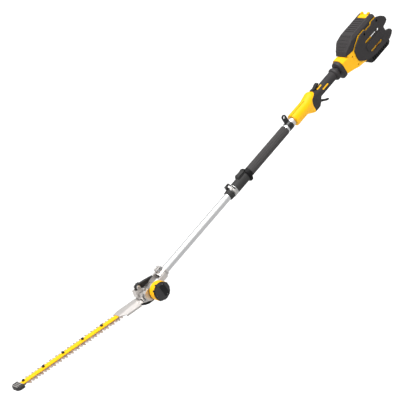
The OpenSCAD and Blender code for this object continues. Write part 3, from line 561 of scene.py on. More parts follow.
# Dark nylon of the clamp collar, with its flange in black behind it
collar_moulding = SplitToneFinish("dark_nylon_two_shot", "#3a3a39", "#302f2f", 0.5, rub_and_highlight=0.35,
                                rub_and_highlight_colour="#6c6866", sheen=0.15, painted_crevice_shade=0.85, station_mm=-307.0,
                                slot=Slot.DARK)
# Dark nylon of the tip shoe, pale grey on the tops of its ribs, with pale edges of rub and painted edge
# highlight
pale_topped_moulding = SplitToneFinish("dark_nylon_scuffed", "#343233", "#2b292a", 0.5, rub_and_highlight=0.5,
                                 rub_and_highlight_colour="#8a8784", sheen=0.3, painted_crevice_shade=0.9, second="#8f8c89",
                                 toward=HEAD_UP, station_mm=-315.9, slot=Slot.DARK)
# Dark grip skin, softer and duller, with a close pebble
grip_moulding = Finish("rubber_overmoulded", "#353233", "#2d2b2c", 0.68, grain_mm=1.6, grain_depth_mm=0.3,
                       rub_and_highlight=0.1, sheen=0.25, painted_crevice_shade=0.85, slot=Slot.DARK)
# Black nylon, a little glossier
black_moulding = Finish("black_nylon_moulded", "#171617", "#101011", 0.36, rub_and_highlight=0.35, rub_and_highlight_colour="#4c4a48",
                        sheen=0.35, painted_crevice_shade=0.8, slot=Slot.BLACK)
# The same nylon on the motor's end cap, greyed on its open face and black in the sunk panel
cap_moulding = SplitToneFinish("black_nylon_end_cap", "#373637", "#2e2d2e", 0.4, rub_and_highlight=0.35,
                             rub_and_highlight_colour="#4c4a48", sheen=0.3, painted_crevice_shade=0.8, second="#0e0e0f",
                             toward=(0, 1, 0), station_mm=-87.6, slot=Slot.BLACK)
# Black acetal of the strap ring, polished by the strap
gloss_moulding = Finish("black_acetal_polished", "#1a1a1b", "#141415", 0.2, grain_depth_mm=0.04, rub_and_highlight=0.3,
                        rub_and_highlight_colour="#4c4a48", slot=Slot.BLACK)
# Die-cast aluminium, bead blasted: a pale warm grey with a sandy grain
cast_metal = Finish("aluminium_die_cast", "#dfdbd8", "#c2bdb9", 0.36, 0.8, grain_mm=3.5, grain_depth_mm=0.2,
                    rub_and_highlight=0.5, rub_and_highlight_colour="#f6f3f1", painted_crevice_shade=0.85, painted_crevice_shade_mm=10, slot=Slot.CAST,
                    process="cast")
# The clamp lever's casting, black past the pole's middle on the side of its hinge
hinged_metal = SplitToneFinish("aluminium_cast_coated", "#d8d6d3", "#bdbab6", 0.36, 0.8, grain_mm=3.5,
                             grain_depth_mm=0.2, rub_and_highlight=0.3, rub_and_highlight_colour="#efeeec", painted_crevice_shade=0.85, painted_crevice_shade_mm=5,
                             toward=(0, 1, 0), station_mm=1.0, slot=Slot.CAST, process="cast")
# Drawn and anodised tube: near-white silver with fine lines along the pole
drawn_tube = LinedFinish("aluminium_drawn_anodised", "#eeeeee", "#e2e3e4", 0.22, 1.0, grain_depth_mm=0.03,
                         rub_and_highlight=0.2, rub_and_highlight_colour="#ffffff", slot=Slot.TUBE, process="drawn")
# Rolled aluminium band: brushed round the pole
rolled_band = LinedFinish("aluminium_rolled_brushed", "#d2d2d0", "#c2c2c1", 0.3, 1.0,
                          line_mm=(1.2, 40.0, 40.0), grain_depth_mm=0.04, rub_and_highlight=0.2, rub_and_highlight_colour="#f4f4f2",
                          slot=Slot.TUBE, process="rolled")
# Closed-cell foam sleeve: fully matt, with fine lines along the sleeve
foam_skin = LinedFinish("foam_closed_cell", "#474545", "#393737", 0.8, line_mm=(90.0, 4.0, 4.0),
                        grain_depth_mm=0.7, rub_and_highlight=0.1, sheen=0.3, painted_crevice_shade=0.9, painted_crevice_shade_mm=5, slot=Slot.FOAM,
                        process="foam")
# Black oxide on the bolts: a soft black with a dull sheen
black_oxide = Finish("steel_black_oxide", "#232220", "#181817", 0.4, 0.6, rub_and_highlight=0.3, rub_and_highlight_colour="#6d6a66",
                     slot=Slot.BLACK_STEEL, process="turned")
# Ground blades: bright steel with grinding lines across the teeth
ground_blade = LinedFinish("steel_ground", "#cfc5c0", "#b6aaa4", 0.34, 0.9, line_mm=(2.0, 60.0, 20.0),
                           grain_depth_mm=0.05, rub_and_highlight=0.25, rub_and_highlight_colour="#8d8580", painted_crevice_shade=0.3,
                           slot=Slot.BLADE, process="ground")
# Bright zinc on screws, pins and gears
zinc_steel = Finish("steel_zinc_plated", "#b9bbbc", "#a3a5a8", 0.3, 1.0, rub_and_highlight=0.3, rub_and_highlight_colour="#e4e5e6")
# Enamelled copper windings and laminations of the motor
wound_copper = LinedFinish("copper_enamelled", "#b5652e", "#8a4a22", 0.35, 0.8, line_mm=(2.0, 30.0, 2.0))
# Solder mask of the board, glossy over the traces
board_mask = Finish("epoxy_solder_mask", "#2c7a3f", "#1f5f31", 0.3, cloud_mm=8, rub_and_highlight=0.1)
# Shrink wrap on the cells
cell_wrap = Finish("cell_shrink_wrap", "#5a7fa8", "#4d6f96", 0.3, cloud_mm=20, rub_and_highlight=0.1)

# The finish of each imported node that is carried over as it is
NODE_FINISHES = [
    (black_moulding, "trigger_switch terminal_block"),
    (zinc_steel, "case_screws cap_screws motor_rotor motor_pinion motor_bearings layshaft reduction_gear "
                 "crown_pinion layshaft_bearing crank blade_nuts lock_lever_pin bracket_bolts "
                 "clamp_lever_pin hanger_screw trigger_pin lock_off_pin chassis_screws"),
    (wound_copper, "motor_stator"),
    (board_mask, "control_board"),
    (cell_wrap, "battery_cells"),
]


@dataclass
class CutterHead:
    """Motor, castings and lock lever that swing on the pole's end, in the head's frame."""

    drum_r: float = 40.0
    drum_front: float = -80.0
    drum_back: float = -45.5
    wall: float = 3.0
    bearing_r: float = 9.02
    cap_r: float = 38.5
    cap_face: float = -88.0
    notch_count: int = 8
    first_notch: float = 147.5
    lug_angles: tuple[float, ...] = (125.0, 209.0, 245.0, 330.0)
    screw_angles: tuple[float, ...] = (50.0, 170.0, 290.0)
    screw_inset: float = 9.0
    screw_r: float = 2.6
    panel_depth: float = 0.9
    shroud_front: float = -188.0
    shroud_half: float = 36.0
    bar_base: float = -23.05
    bar_thick: float = 5.5
    bar_half: float = 12.5
    crank_x: float = -34.04
    case_r: float = 35.0
    lever_half: float = 8.0
    lever_pivot: Spot = (-53.0, 36.0)
    lever_pin_r: float = 3.05

    def build(self) -> None:
        """Build the pieces of the head."""
        self.drum()
        self.cap()
        self.shroud()
        self.lever()
        for node in ("gear_case", "gear_cover", "pivot_cap"):
            Form.copy(node).piece(node, Body.HEAD, cast_metal)
        Form.copy("crank_cover").piece("crank_cover", Body.HEAD, black_moulding)

    def drum(self) -> None:
        """Yellow drum round the motor, with a stepped back."""
        front, back, r = self.drum_front, self.drum_back, self.drum_r
        inner = r - self.wall
        profile = softened([
            (front, inner), (front, r), (back - 8, r), (back - 7, r - 2), (back - 4, r - 2),
            (back - 3, r - 6), (back, r - 6), (back, self.bearing_r), (back - 5, self.bearing_r),
            (back - 5, inner)], 1.2)
        Form(HEAD).spun(profile, Axis.Y).piece("motor_housing", Body.HEAD, yellow_moulding, "motor_drum")

    def cap(self) -> None:
        """Black end cap with a notched rim, lugs over the drum and a bare sunk panel."""
        face, rim, split = self.cap_face, self.cap_r, self.drum_front
        inner = self.drum_r - self.wall
        profile = softened([
            (face, 0), (face, rim - 1.5), (face + 1.5, rim), (split, rim), (split, inner),
            (split + 4, inner), (split + 4, rim - 3), (face + 5, rim - 3), (face + 5, 12), (face + 13, 12),
            (face + 13, self.bearing_r), (face + 3, self.bearing_r), (face + 3, 0)], 1.0)
        cap = Form(HEAD).spun(profile, Axis.Y)
        cuts = Form(HEAD)
        for i in range(self.notch_count):
            notch = Form(HEAD).block((rim - 2.5, face - 1, -4), (rim + 6, split - 1.5, 4))
            cuts.add(notch.turned(self.first_notch + 360 / self.notch_count * i, Axis.Y))
        for angle in self.screw_angles:
            hole = Form(HEAD).rod(face - 1, face + 7, self.screw_r, Axis.Y, (rim - self.screw_inset, 0))
            cuts.add(hole.turned(angle, Axis.Y))
        panel = softened(rectangle((-3, -27), (22, 27)), 2.5)
        sunk = Form(HEAD).prism(panel, Axis.Y, face - 1, face + self.panel_depth).turned(-HEAD_TILT, Axis.Y)
        lugs = Form(HEAD)
        for angle in self.lug_angles:
            lug = Form(HEAD).block((rim - 3, face + 2, -3.5), (self.drum_r + 0.5, split + 6, 3.5))
            lug.ease(0.4, 2)
            lug.minus(Form(HEAD).rod(split - 0.05, split + 20, self.drum_r + 0.05, Axis.Y))
            lugs.add(lug.turned(angle, Axis.Y))
        cap.minus(sunk).minus(cuts).plus(lugs)
        cap.piece("motor_cap", Body.HEAD, cap_moulding, "motor_end_cap")

    def shroud(self) -> None:
        """Ridged casting over the blade roots."""
        base, half, front = self.bar_base, self.shroud_half, self.shroud_front
        ridge = [(-half, base - 7), (-half, base + 2), (-11, base + 11), (11, base + 11), (half, base + 2),
                 (half, base - 7)]
        plan = [(-60, -half), (-60, half), (-158, half), (front, 18), (front, -18), (-158, -half)]
        side = [(-60, base - 7), (-60, base + 14), (-110, base + 11), (front, base + 8), (front, base - 7)]
        body = Form(HEAD).prism(ridge, Axis.X, front, -60)
        body.within(Form(HEAD).prism(plan, Axis.Z, base - 20, base + 40))
        body.within(Form(HEAD).prism(side, Axis.Y, -half - 1, half + 1)).ease(1.6, limit=12)
        body.minus(Form(HEAD).block((front - 1, -33.4, base - 20), (-50, 33.4, base)))
        body.minus(Form(HEAD).block((front - 1, -self.bar_half - 0.2, base - 1),
                                    (-132, self.bar_half + 0.2, base + self.bar_thick)))
        body.minus(Form(HEAD).rod(-60, 20, self.case_r + 0.02, Axis.Z, (self.crank_x, 0)))
        body.minus(Form(HEAD).block((-84, -60, -60), (-50, -30.95, 20)))
        body.piece("blade_shroud", Body.HEAD, cast_metal)

    def lever(self) -> None:
        """Slim lock lever that tapers to its tip, with its pawl finger."""
        half = self.lever_half
        x, z = self.lever_pivot
        side = arc((x, z), 9.5, 95, 270, 14) + [
            (-34, 22), (-4, 26), (12, 33), (30, 38.5), (31, 41), (-20, 44)]
        bar = Form(HEAD).prism(side, Axis.Y, -half, half)
        for way in (-1, 1):
            bar.slice((-10, way * half, 0), (3.5, way * 50, 0))
        bar.ease(1.4)
        pawl = Form(HEAD).block((-40, 5, 28), (-30, 28.5, 38))
        pawl.plus(Form(HEAD).block((-36, 22.6, 9), (-25.5, 28.5, 38))).ease(0.8)
        bar.plus(pawl)
        bar.minus(Form(HEAD).rod(-20, 20, self.lever_pin_r, Axis.Y, self.lever_pivot))
        bar.piece("lock_lever", Body.LOCK_LEVER, black_moulding)


@dataclass
class CutterBar:
    """Blades, guide bar, bolts and tip shoe, in the head's frame."""

    tip_x: float = -716.0
    base: float = -23.05
    thick: float = 5.5
    half: float = 12.5
    blade_thick: float = 2.5
    upper_z: float = -25.85
    lower_z: float = -28.65
    pitch: float = 30.5
    teeth: int = 16
    first_tooth: float = 182.0
    first_bolt: float = 266.0
    bolt_pitch: float = 100.7
    bolts: int = 5
    bolt_r: float = 3.0
    bolt_head_r: float = 5.8
    bush_r: float = 3.6
    throw: float = 6.0
    spine_half: float = 13.0
    tooth_half: float = 32.0
    crank_x: float = -34.04
    grind: float = 1.5
    shoe_length: float = 34.0
    shoe_half: float = 27.0
    shoe_ribs: int = 4
    rib_pitch: float = 8.0
    rib_width: float = 4.5

    def build(self) -> None:
        """Build the cutting parts."""
        self.bar()
        self.blade("upper_blade", Body.UPPER_BLADE, self.upper_z, 0.0, 1)
        self.blade("lower_blade", Body.LOWER_BLADE, self.lower_z, self.pitch / 2, -1)
        self.bolt_set()
        self.shoe()

    def bolt_xs(self) -> list[float]:
        """Stations of the bolts along the bar."""
        return [-self.first_bolt - i * self.bolt_pitch for i in range(self.bolts)]

    def bar(self) -> None:
        """Painted bar with rounded shoulders, narrowed where it enters the shoe."""
        half, base = self.half, self.base
        section = softened([(-half, base), (-half, base + 3.5), (-half + 3, base + self.thick),
                            (half - 3, base + self.thick), (half, base + 3.5), (half, base)], 0.9, 3)
        bar = Form(HEAD).prism(section, Axis.X, self.tip_x + 8, -134)
        end = self.tip_x + self.shoe_length + 0.2
        for low, high in ((-20, -9), (9, 20)):
            bar.minus(Form(HEAD).block((self.tip_x, low, base - 1), (end, high, base + 20)))
        holes = Form(HEAD)
        for x in self.bolt_xs():
            holes.rod(base - 1, base + 20, self.bolt_r + 0.05, Axis.Z, (x, 0))
        bar.minus(holes).piece("guide_bar", Body.HEAD, yellow_coat)

    def tooth(self, x: float, side: int, inset: float) -> Outline:
        """Outline of one tooth, drawn in by the width of its grind.

        Args:
            x: the tooth's middle along the blade.
            side: 1 or -1 for the two edges of the blade.
            inset: how far flanks and tip are drawn in.

        Returns:
            Six corners, from the front root round the tip to the rear root.
        """
        root, tip = self.spine_half - 1, self.tooth_half
        across = [(8.5 - inset, root), (4.6 - inset, tip - 4), (2.6 - inset, tip - inset * 0.7),
                  (-3.2 + inset, tip - inset * 0.7), (-4.4 + inset, tip - 4), (-7.5 + inset, root)]
        return [(x + u, side * v) for u, v in across]

    def blade(self, name: str, body: Body, low: float, shift: float, ground: int) -> None:
        """One blade with teeth ground on the side away from its partner.

        Args:
            name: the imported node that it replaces.
            body: the body that slides.
            low: height of its underside.
            shift: how far its teeth are out of step.
            ground: 1 where the upper side is ground, -1 for the lower side.
        """
        high = low + self.blade_thick
        levels = [low, low + 0.8, high] if ground > 0 else [high, high - 0.8, low]
        end = self.tip_x + 50
        spine = Form(HEAD).block((end, -self.spine_half, low), (self.crank_x - 12, self.spine_half, high))
        teeth = Form(HEAD)
        for i in range(self.teeth):
            x = -self.first_tooth - shift - i * self.pitch
            for side in (-1, 1):
                outlines = [self.tooth(x, side, inset) for inset in (0.0, 0.0, self.grind)]
                teeth.loft([[(u, v, z) for u, v in outline] for outline, z in zip(outlines, levels)])
        spine.plus(teeth)
        spine.plus(Form(HEAD).prism(stadium((self.crank_x, 0), self.throw, 19), Axis.Z, low, high))
        holes = Form(HEAD).prism(stadium((self.crank_x, 0), self.throw, 15.4), Axis.Z, low - 1, high + 1)
        for x in self.bolt_xs():
            holes.prism(stadium((x, 0), self.throw, self.bush_r + 0.5), Axis.Z, low - 1, high + 1)
        spine.minus(holes).piece(name, body, ground_blade)

    def bolt_set(self) -> None:
        """Socket-head bolts, all alike, with their sliding bushes."""
        top = self.base + self.thick
        foot, step, shoulder = self.lower_z - 7, self.lower_z - 0.2, self.base - 0.2
        r, bush, head = self.bolt_r, self.bush_r, self.bolt_head_r
        profile = softened([
            (foot, 0), (foot, r), (step, r), (step, bush), (shoulder, bush), (shoulder, r), (top, r),
            (top, head), (top + 5.5, head), (top + 7, 4.5), (top + 7, 0)], 0.5, 3)
        bolts, sockets = Form(HEAD), Form(HEAD)
        for x in self.bolt_xs():
            bolts.spun(profile, Axis.Z, (x, 0), 48)
            sockets.prism(arc((x, 0), 2.9, 0, 300, 5), Axis.Z, top + 3.5, top + 9)
        bolts.minus(sockets).piece("blade_bolts", Body.HEAD, black_oxide)

    def shoe(self) -> None:
        """Ribbed shoe over the blade tips."""
        x, half, length = self.tip_x, self.shoe_half, self.shoe_length
        low, high = self.lower_z - 2.4, self.base + self.thick + 2.2
        plan = softened([(x + length, -half), (x + length, half), (x + 10, half), (x, half - 12),
                         (x, 12 - half), (x + 10, -half)], 3.0)
        body = Form(HEAD).prism(plan, Axis.Z, low, high - 1.5).ease(1.2)
        for i in range(self.shoe_ribs):
            rib = x + 4 + i * self.rib_pitch
            outline = softened(rectangle((rib, 10 - half), (rib + self.rib_width, half - 10)), 1.5)
            body.plus(Form(HEAD).prism(outline, Axis.Z, low + 2, high).ease(0.8, 2))
        for i in range(self.shoe_ribs - 1):
            slot = x + 9 + i * self.rib_pitch
            for near, far in ((-half + 5, -11), (11, half - 5)):
                body.minus(Form(HEAD).block((slot, near, self.base + 1.5), (slot + 2.5, far, high + 5)))
        body.minus(Form(HEAD).block((x + 7.95, -9.05, self.base - 0.02),
                                    (x + length + 1, 9.05, self.base + self.thick + 0.02)))
        body.minus(Form(HEAD).block((x + length - 10, 3 - half, self.lower_z - 1),
                                    (x + length + 1, half - 3, self.base - 0.02)))
        body.piece("tip_shoe", Body.HEAD, pale_topped_moulding)


@dataclass
class Pole:
    """Both tubes, the fork, the clamp, the foam sleeve and the strap eye, on the pole's axis."""

    lower_r: float = 16.5
    upper_r: float = 19.0
    bore_r: float = 16.9
    tube_wall: float = 1.6
    lower_ends: Spot = (-890.0, -290.0)
    upper_ends: Spot = (-418.0, 130.0)
    collar_front: float = -430.0
    collar_r: float = 21.5
    band: Spot = (-408.0, -385.0)
    band_r: float = 23.5
    flange: float = -303.0
    sleeve: Spot = (-282.0, -25.0)
    sleeve_r: float = 21.25
    flutes: int = 14
    flute_depth: float = 1.4
    hinge: Spot = (9.0, 29.0)
    ear_xs: Spot = (-411.0, -395.0)
    ear_thick: float = 5.0
    pin_r: float = 2.5
    eye_r: float = 6.0
    ring_ends: Spot = (-15.0, 11.0)
    ring_r: float = 20.7

    def build(self) -> None:
        """Build the pieces along the pole."""
        self.tubes()
        self.foam()
        self.collar()
        self.clamp()
        self.hanger()
        Form.copy("pivot_bracket").piece("pivot_bracket", Body.MAST, cast_metal)

    def tubes(self) -> None:
        """Drawn tubes with their cut ends broken."""
        lower = sleeve_profile(self.lower_ends, self.lower_r - self.tube_wall, self.lower_r, 0.4, 2)
        upper = sleeve_profile(self.upper_ends, self.bore_r, self.upper_r, 0.4, 2)
        for node, body, profile in (("lower_tube", Body.MAST, lower), ("upper_tube", Body.POLE, upper)):
            Form(POLE).spun(profile, Axis.X).piece(node, body, drawn_tube)

    def foam(self) -> None:
        """Fluted foam sleeve with soft crowned ends."""
        front, rear = self.sleeve
        steps = 8 * self.flutes
        stations = [(front, -1.3), (front + 1, -0.5), (front + 3, -0.1), (front + 8, 0.0)]
        stations += [(rear - 8, 0.0), (rear - 3, -0.1), (rear - 1, -0.5), (rear, -1.3)]
        loops = []
        for x, drop in stations:
            loop = []
            for i in range(steps):
                turn = 2 * math.pi * i / steps
                groove = self.flute_depth * max(0.0, math.cos(turn * self.flutes)) ** 2
                radius = self.sleeve_r + drop - groove
                loop.append((x, radius * math.cos(turn), radius * math.sin(turn)))
            loops.append(loop)
        for x in (rear, front):
            turns = [2 * math.pi * i / steps for i in range(steps)]
            loops.append([(x, self.upper_r * math.cos(t), self.upper_r * math.sin(t)) for t in turns])
        sleeve = Form(POLE).loft(loops, ring=True)
        sleeve.piece("pole_sleeve", Body.POLE, foam_skin)

    def collar(self) -> None:
        """Moulded collar with its flange, its top block and the two ears of the clamp."""
        front, r, rear = self.collar_front, self.collar_r, self.sleeve[0]
        shoulder, flange = self.band[1] + 1, self.flange
        profile = softened([
            (front, self.bore_r), (front, r - 1.5), (front + 6, r - 1.5), (front + 6, r), (shoulder, r),
            (shoulder, r + 1.7), (flange - 3, r + 1.7), (flange - 3, 30), (flange, 30), (flange, 32.5),
            (flange + 6, 32.5), (flange + 6, 30.5), (flange + 8, 30.5), (flange + 8, r), (rear, r),
            (rear, self.upper_r), (front + 12, self.upper_r), (front + 12, self.bore_r)], 0.9, 3)
        body = Form(POLE).spun(profile, Axis.X)
        y, z = self.hinge
        top = [(-350, 21), (-346, 30), (-341, 33), (-336, 33), (-335, 31.5), (-311, 31.5), (-310, 33),
               (flange + 2, 33), (flange + 2, 21)]
        block = Form(POLE).prism(softened(top, 0.8, 2), Axis.Y, -12, 12).ease(1.0, limit=SQUARE_EDGE)
        for side in (-1, 1):
            sunk = [(-342, 25), (-339, 29.5), (-308, 29.5), (-308, 25)]
            low, high = sorted((side * 10.2, side * 14))
            block.minus(Form(POLE).prism(softened(sunk, 1.0, 2), Axis.Y, low, high))
        body.plus(block)
        ears = Form(POLE)
        for x, ahead in zip(self.ear_xs, (2.5, 0)):
            outline = [(y + 7.5, 13.2), *arc(self.hinge, 7.5, 0, 180, 16), (y - 7.5, 20)]
            ear = Form(POLE).prism(outline, Axis.X, x - ahead, x + self.ear_thick)
            ears.add(ear.ease(0.7, 2, limit=SQUARE_EDGE))
        first, last = self.ear_xs[0], self.ear_xs[1] + self.ear_thick
        web = Form(POLE).block((first, y + 5.9, 14.6), (last, y + 8.5, z + 4))
        body.plus(ears).plus(web.ease(0.7, 2))
        body.minus(Form(POLE).rod(first - 1, last + 1, self.pin_r, Axis.X, self.hinge))
        body.piece("clamp_collar", Body.POLE, collar_moulding)

    def clamp(self) -> None:
        """Rolled band and the cast lever that wraps round the near side."""
        front, rear = self.band
        y, z = self.hinge
        band = Form(POLE).spun(sleeve_profile(self.band, self.collar_r, self.band_r, 0.5, 2), Axis.X)
        band.minus(Form(POLE).block((front - 1, y - 8, 0), (rear + 1, y + 9, 40)))
        middle = (self.ear_xs[0] + self.ear_thick + self.ear_xs[1]) / 2
        window = arc((0, 0), self.collar_r - 1, 98, 152, 18) + arc((0, 0), self.band_r + 2, 152, 98, 18)
        band.minus(Form(POLE).prism(window, Axis.X, front + 3, rear - 2.5))
        band.piece("clamp_band", Body.POLE, rolled_band)
        low, high = self.ear_xs[0] + self.ear_thick + 0.4, self.ear_xs[1] - 0.4
        inner = self.band_r + 0.6
        bow = arc((0, 0), inner, 82, 188, 36) + arc((0, 0), inner + 5, 188, 98, 30)
        bow += [(y - 3, z + 4.6), *arc(self.hinge, 5.5, 90, -120, 20)]
        lever = Form(POLE).prism(bow, Axis.X, low, high).ease(1.0, 3, limit=SQUARE_EDGE)
        lever.minus(Form(POLE).rod(low - 1, high + 1, self.pin_r + 0.05, Axis.X, self.hinge))
        slot = Form(POLE).prism([(v, u) for u, v in stadium((0, middle - 1.2), 5, 1.9)], Axis.Z, 20, 40)
        lever.minus(slot.turned(38, Axis.X))
        lever.minus(Form(POLE).block((high - 2.5, -60, -40), (high + 1, -1, 60)))
        lever.piece("clamp_lever", Body.CLAMP_LEVER, hinged_metal)

    def hanger(self) -> None:
        """Black ring and tab of the strap eye."""
        ring = Form(POLE).spun(sleeve_profile(self.ring_ends, self.upper_r, self.ring_r, 0.6), Axis.X)
        tab = [*arc((0, EYE_RISE), 12, 0, 180, 28), (-12, 19.3), (12, 19.3)]
        ring.plus(Form(POLE).prism(tab, Axis.Y, -3.5, 3.5).ease(1.2, 3, limit=SQUARE_EDGE))
        ring.minus(Form(POLE).rod(-10, 10, self.eye_r, Axis.Y, (0, EYE_RISE)))
        ring.minus(Form(POLE).rod(-40, 0, 1.5, Axis.Z, (-2, 0)))
        ring.piece("strap_hanger", Body.POLE, gloss_moulding)


@dataclass
class Handle:
    """Front handle, trigger housing, trigger, lock-off lever and rear grip, on the pole's axis."""

    wall: float = 3.0
    tube_r: float = 19.0
    steps: int = 96
    front: float = 30.0
    rear: float = 205.0
    grip_z: float = -3.0
    grip_r: float = 21.75
    grip_rear: float = 319.0
    grip_wall: float = 4.0
    seam: float = 0.8
    half_gap: float = 0.05
    trigger_pivot: Spot = (188.0, -34.0)
    lock_off_pivot: Spot = (190.0, 15.0)
    pin_r: float = 2.0
    pin_half: float = 14.5
    # Round sections of the hump and of the bulge over the trigger: station, height, radius
    hump: tuple[Point, ...] = ((30, 0, 27.5), (31, 0, 28.6), (34, 0, 29.5), (120, 0, 29.5), (155, 9.5, 28.5),
                               (165, 9.5, 28.5), (205, -3, 21.75))
    bulge: tuple[Point, ...] = ((100, -6, 23.5), (140, -33.5, 21.5), (174, -33.5, 21.5), (196, -24, 17),
                                (205, -9, 15.5))
    joint_gap: float = 0.3
    # Side outline of the joint between the yellow shells and the dark housing
    joint: tuple[Spot, ...] = (
        (0, -80), (141, -80), (142, -40), (139, -12), (142, 6), (150, 16), (164, 20.5), (177, 24), (182, 28),
        (182, 80), (0, 80))

    def build(self) -> None:
        """Build the pieces of the handle."""
        self.shells()
        self.housing()
        self.levers()
        self.grip()

    @staticmethod
    def between(stations: tuple[Point, ...], x: float) -> Spot:
        """Height and radius of a row of round sections at a station."""
        for (x0, z0, r0), (x1, z1, r1) in zip(stations, stations[1:]):
            if x0 <= x <= x1:
                t = (x - x0) / (x1 - x0)
                return z0 + (z1 - z0) * t, r0 + (r1 - r0) * t
        raise ValueError(f"no section at {x}")

    def section(self, x: float, inset: float) -> Outline:
        """Outline of the handle at a station: the round hump and bulge with straight flanks.

        Args:
            x: station along the pole.
            inset: how far the outline is drawn in.

        Returns:
            Points as across and height, from the bottom round the right side to the top and on.
        """
        rounds = [self.between(self.hump, x)]
        if self.bulge[0][0] <= x <= self.bulge[-1][0]:
            rounds.append(self.between(self.bulge, x))
        points = []
        for i in range(self.steps):
            turn = 2 * math.pi * i / self.steps - math.pi / 2
            across, up = math.cos(turn), math.sin(turn)
            z, r = max(rounds, key=lambda circle: circle[0] * up + circle[1])
            points.append(((r - inset) * across, z + (r - inset) * up))
        return points

    def stations(self, low: float, high: float) -> list[float]:
        """Stations between two ends, close enough to follow every section."""
        marks = {low, high, *(s[0] for s in self.hump), *(s[0] for s in self.bulge)}
        marks.update(low + i * 5 for i in range(int((high - low) / 5)))
        return sorted(mark for mark in marks if low <= mark <= high)

    def solid(self, inset: float) -> Form:
        """The whole handle, drawn in by the given wall."""
        rows = self.stations(self.front + inset, self.rear - inset)
        return Form(POLE).loft([[(x, y, z) for y, z in self.section(x, inset)] for x in rows])

    def half(self) -> Form:
        """Right half of the outer form, with a chamfer along its seam."""
        loops = []
        for x in self.stations(self.front, self.rear):
            points = self.section(x, 0)[:self.steps // 2 + 1]
            (_, low), (_, high) = points[0], points[-1]
            inner = [(max(y, self.seam), z) for y, z in points[1:-1]]
            outline = [(self.half_gap, low + self.seam), *inner, (self.half_gap, high - self.seam)]
            loops.append([(x, y, z) for y, z in outline])
        return Form(POLE).loft(loops)

    def shells(self) -> None:
        """Both yellow halves of the handle."""
        for name in ("handle_shell_right", "handle_shell_left"):
            shell = self.half().within(self.ahead_of_joint(0.0))
            shell.minus(self.solid(self.wall))
            shell.minus(Form(POLE).rod(0, 220, self.tube_r, Axis.X))
            shell.minus(self.lock_off_slot())
            shell.minus(self.crease())
            if name.endswith("left"):
                shell.mirrored()
            shell.piece(name, Body.POLE, yellow_moulding)

    def ahead_of_joint(self, gap: float) -> Form:
        """Room in front of the curved joint, moved back by a gap."""
        outline = softened([(x + gap, z) for x, z in self.joint], 8.0, 6)
        return Form(POLE).prism(outline, Axis.Y, -60, 60)

    def housing(self) -> None:
        """Dark housing behind the curved joint, with slots for trigger and lock-off lever."""
        body = self.solid(0).minus(self.ahead_of_joint(self.joint_gap))
        body.minus(self.solid(self.wall))
        body.minus(Form(POLE).rod(180, self.rear + 1, 14, Axis.X, (0, self.grip_z)))
        body.minus(Form(POLE).block((178, -6.5, -70), (230, 6.5, -26)))
        body.minus(self.lock_off_slot())
        for pivot in (self.trigger_pivot, self.lock_off_pivot):
            body.minus(Form(POLE).rod(-self.pin_half, self.pin_half, self.pin_r, Axis.Y, pivot))
        body.piece("trigger_housing", Body.POLE, dark_moulding)

    @staticmethod
    def crease() -> Form:
        """Fine groove along the flank of a shell, from its front end to the hump."""
        groove = Form(POLE).block((28, -1.2, 27.2), (122, 1.2, 34))
        return groove.turned(-15, Axis.X)

    @staticmethod
    def lock_off_slot() -> Form:
        """Room for the lock-off lever in the top of the handle."""
        return Form(POLE).block((178, -8.5, 8), (230, 8.5, 50))

    def levers(self) -> None:
        """Curved trigger and the lock-off lever on top."""
        curve = [(184, -38.5), (190, -29.5), (201, -35.5), (212, -43.5), (222, -51.5), (230, -57), (237, -59),
                 (239, -62), (235, -65.5), (227, -64), (217, -58), (207, -50.5)]
        self.rocker("trigger", Body.TRIGGER, curve, self.trigger_pivot, 6)
        curve = [(186, 12), (180, 26), (182, 32), (200, 29.5), (212, 34.5), (222, 37), (229, 35.5),
                 (233, 31.5), (227, 28.5), (213, 25), (200, 22), (194, 12)]
        self.rocker("lock_off_lever", Body.LOCK_OFF, curve, self.lock_off_pivot, 8)

    def rocker(self, name: str, body: Body, curve: Outline, pivot: Spot, half: float) -> None:
        """One black lever with an eye round its pin.

        Args:
            name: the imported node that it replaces.
            body: the body that swings.
            curve: its side outline.
            pivot: the pin's place in that outline.
            half: half its width.
        """
        lever = Form(POLE).prism(softened(curve, 3.0), Axis.Y, -half, half).ease(1.5, 3, limit=SQUARE_EDGE)
        lever.plus(Form(POLE).rod(-half, half, 5, Axis.Y, pivot))
        lever.minus(Form(POLE).rod(-half - 1, half + 1, self.pin_r + 0.05, Axis.Y, pivot))
        lever.piece(name, body, black_moulding)

    def grip(self) -> None:
        """Round rear grip with room for the lock-off lever, and the yellow inlays as they are."""
        low, high, r = self.rear, self.grip_rear, self.grip_r
        profile = sleeve_profile((low, high), r - self.grip_wall, r, 0.8)
        body = Form(POLE).spun(profile, Axis.X, (0, self.grip_z))
        body.minus(Form(POLE).block((low - 1, -8.5, 9), (low + 12, 8.5, 27)))
        body.piece("rear_grip", Body.POLE, grip_moulding)
        Form.copy("grip_inlays").piece("grip_inlays", Body.POLE, yellow_moulding)


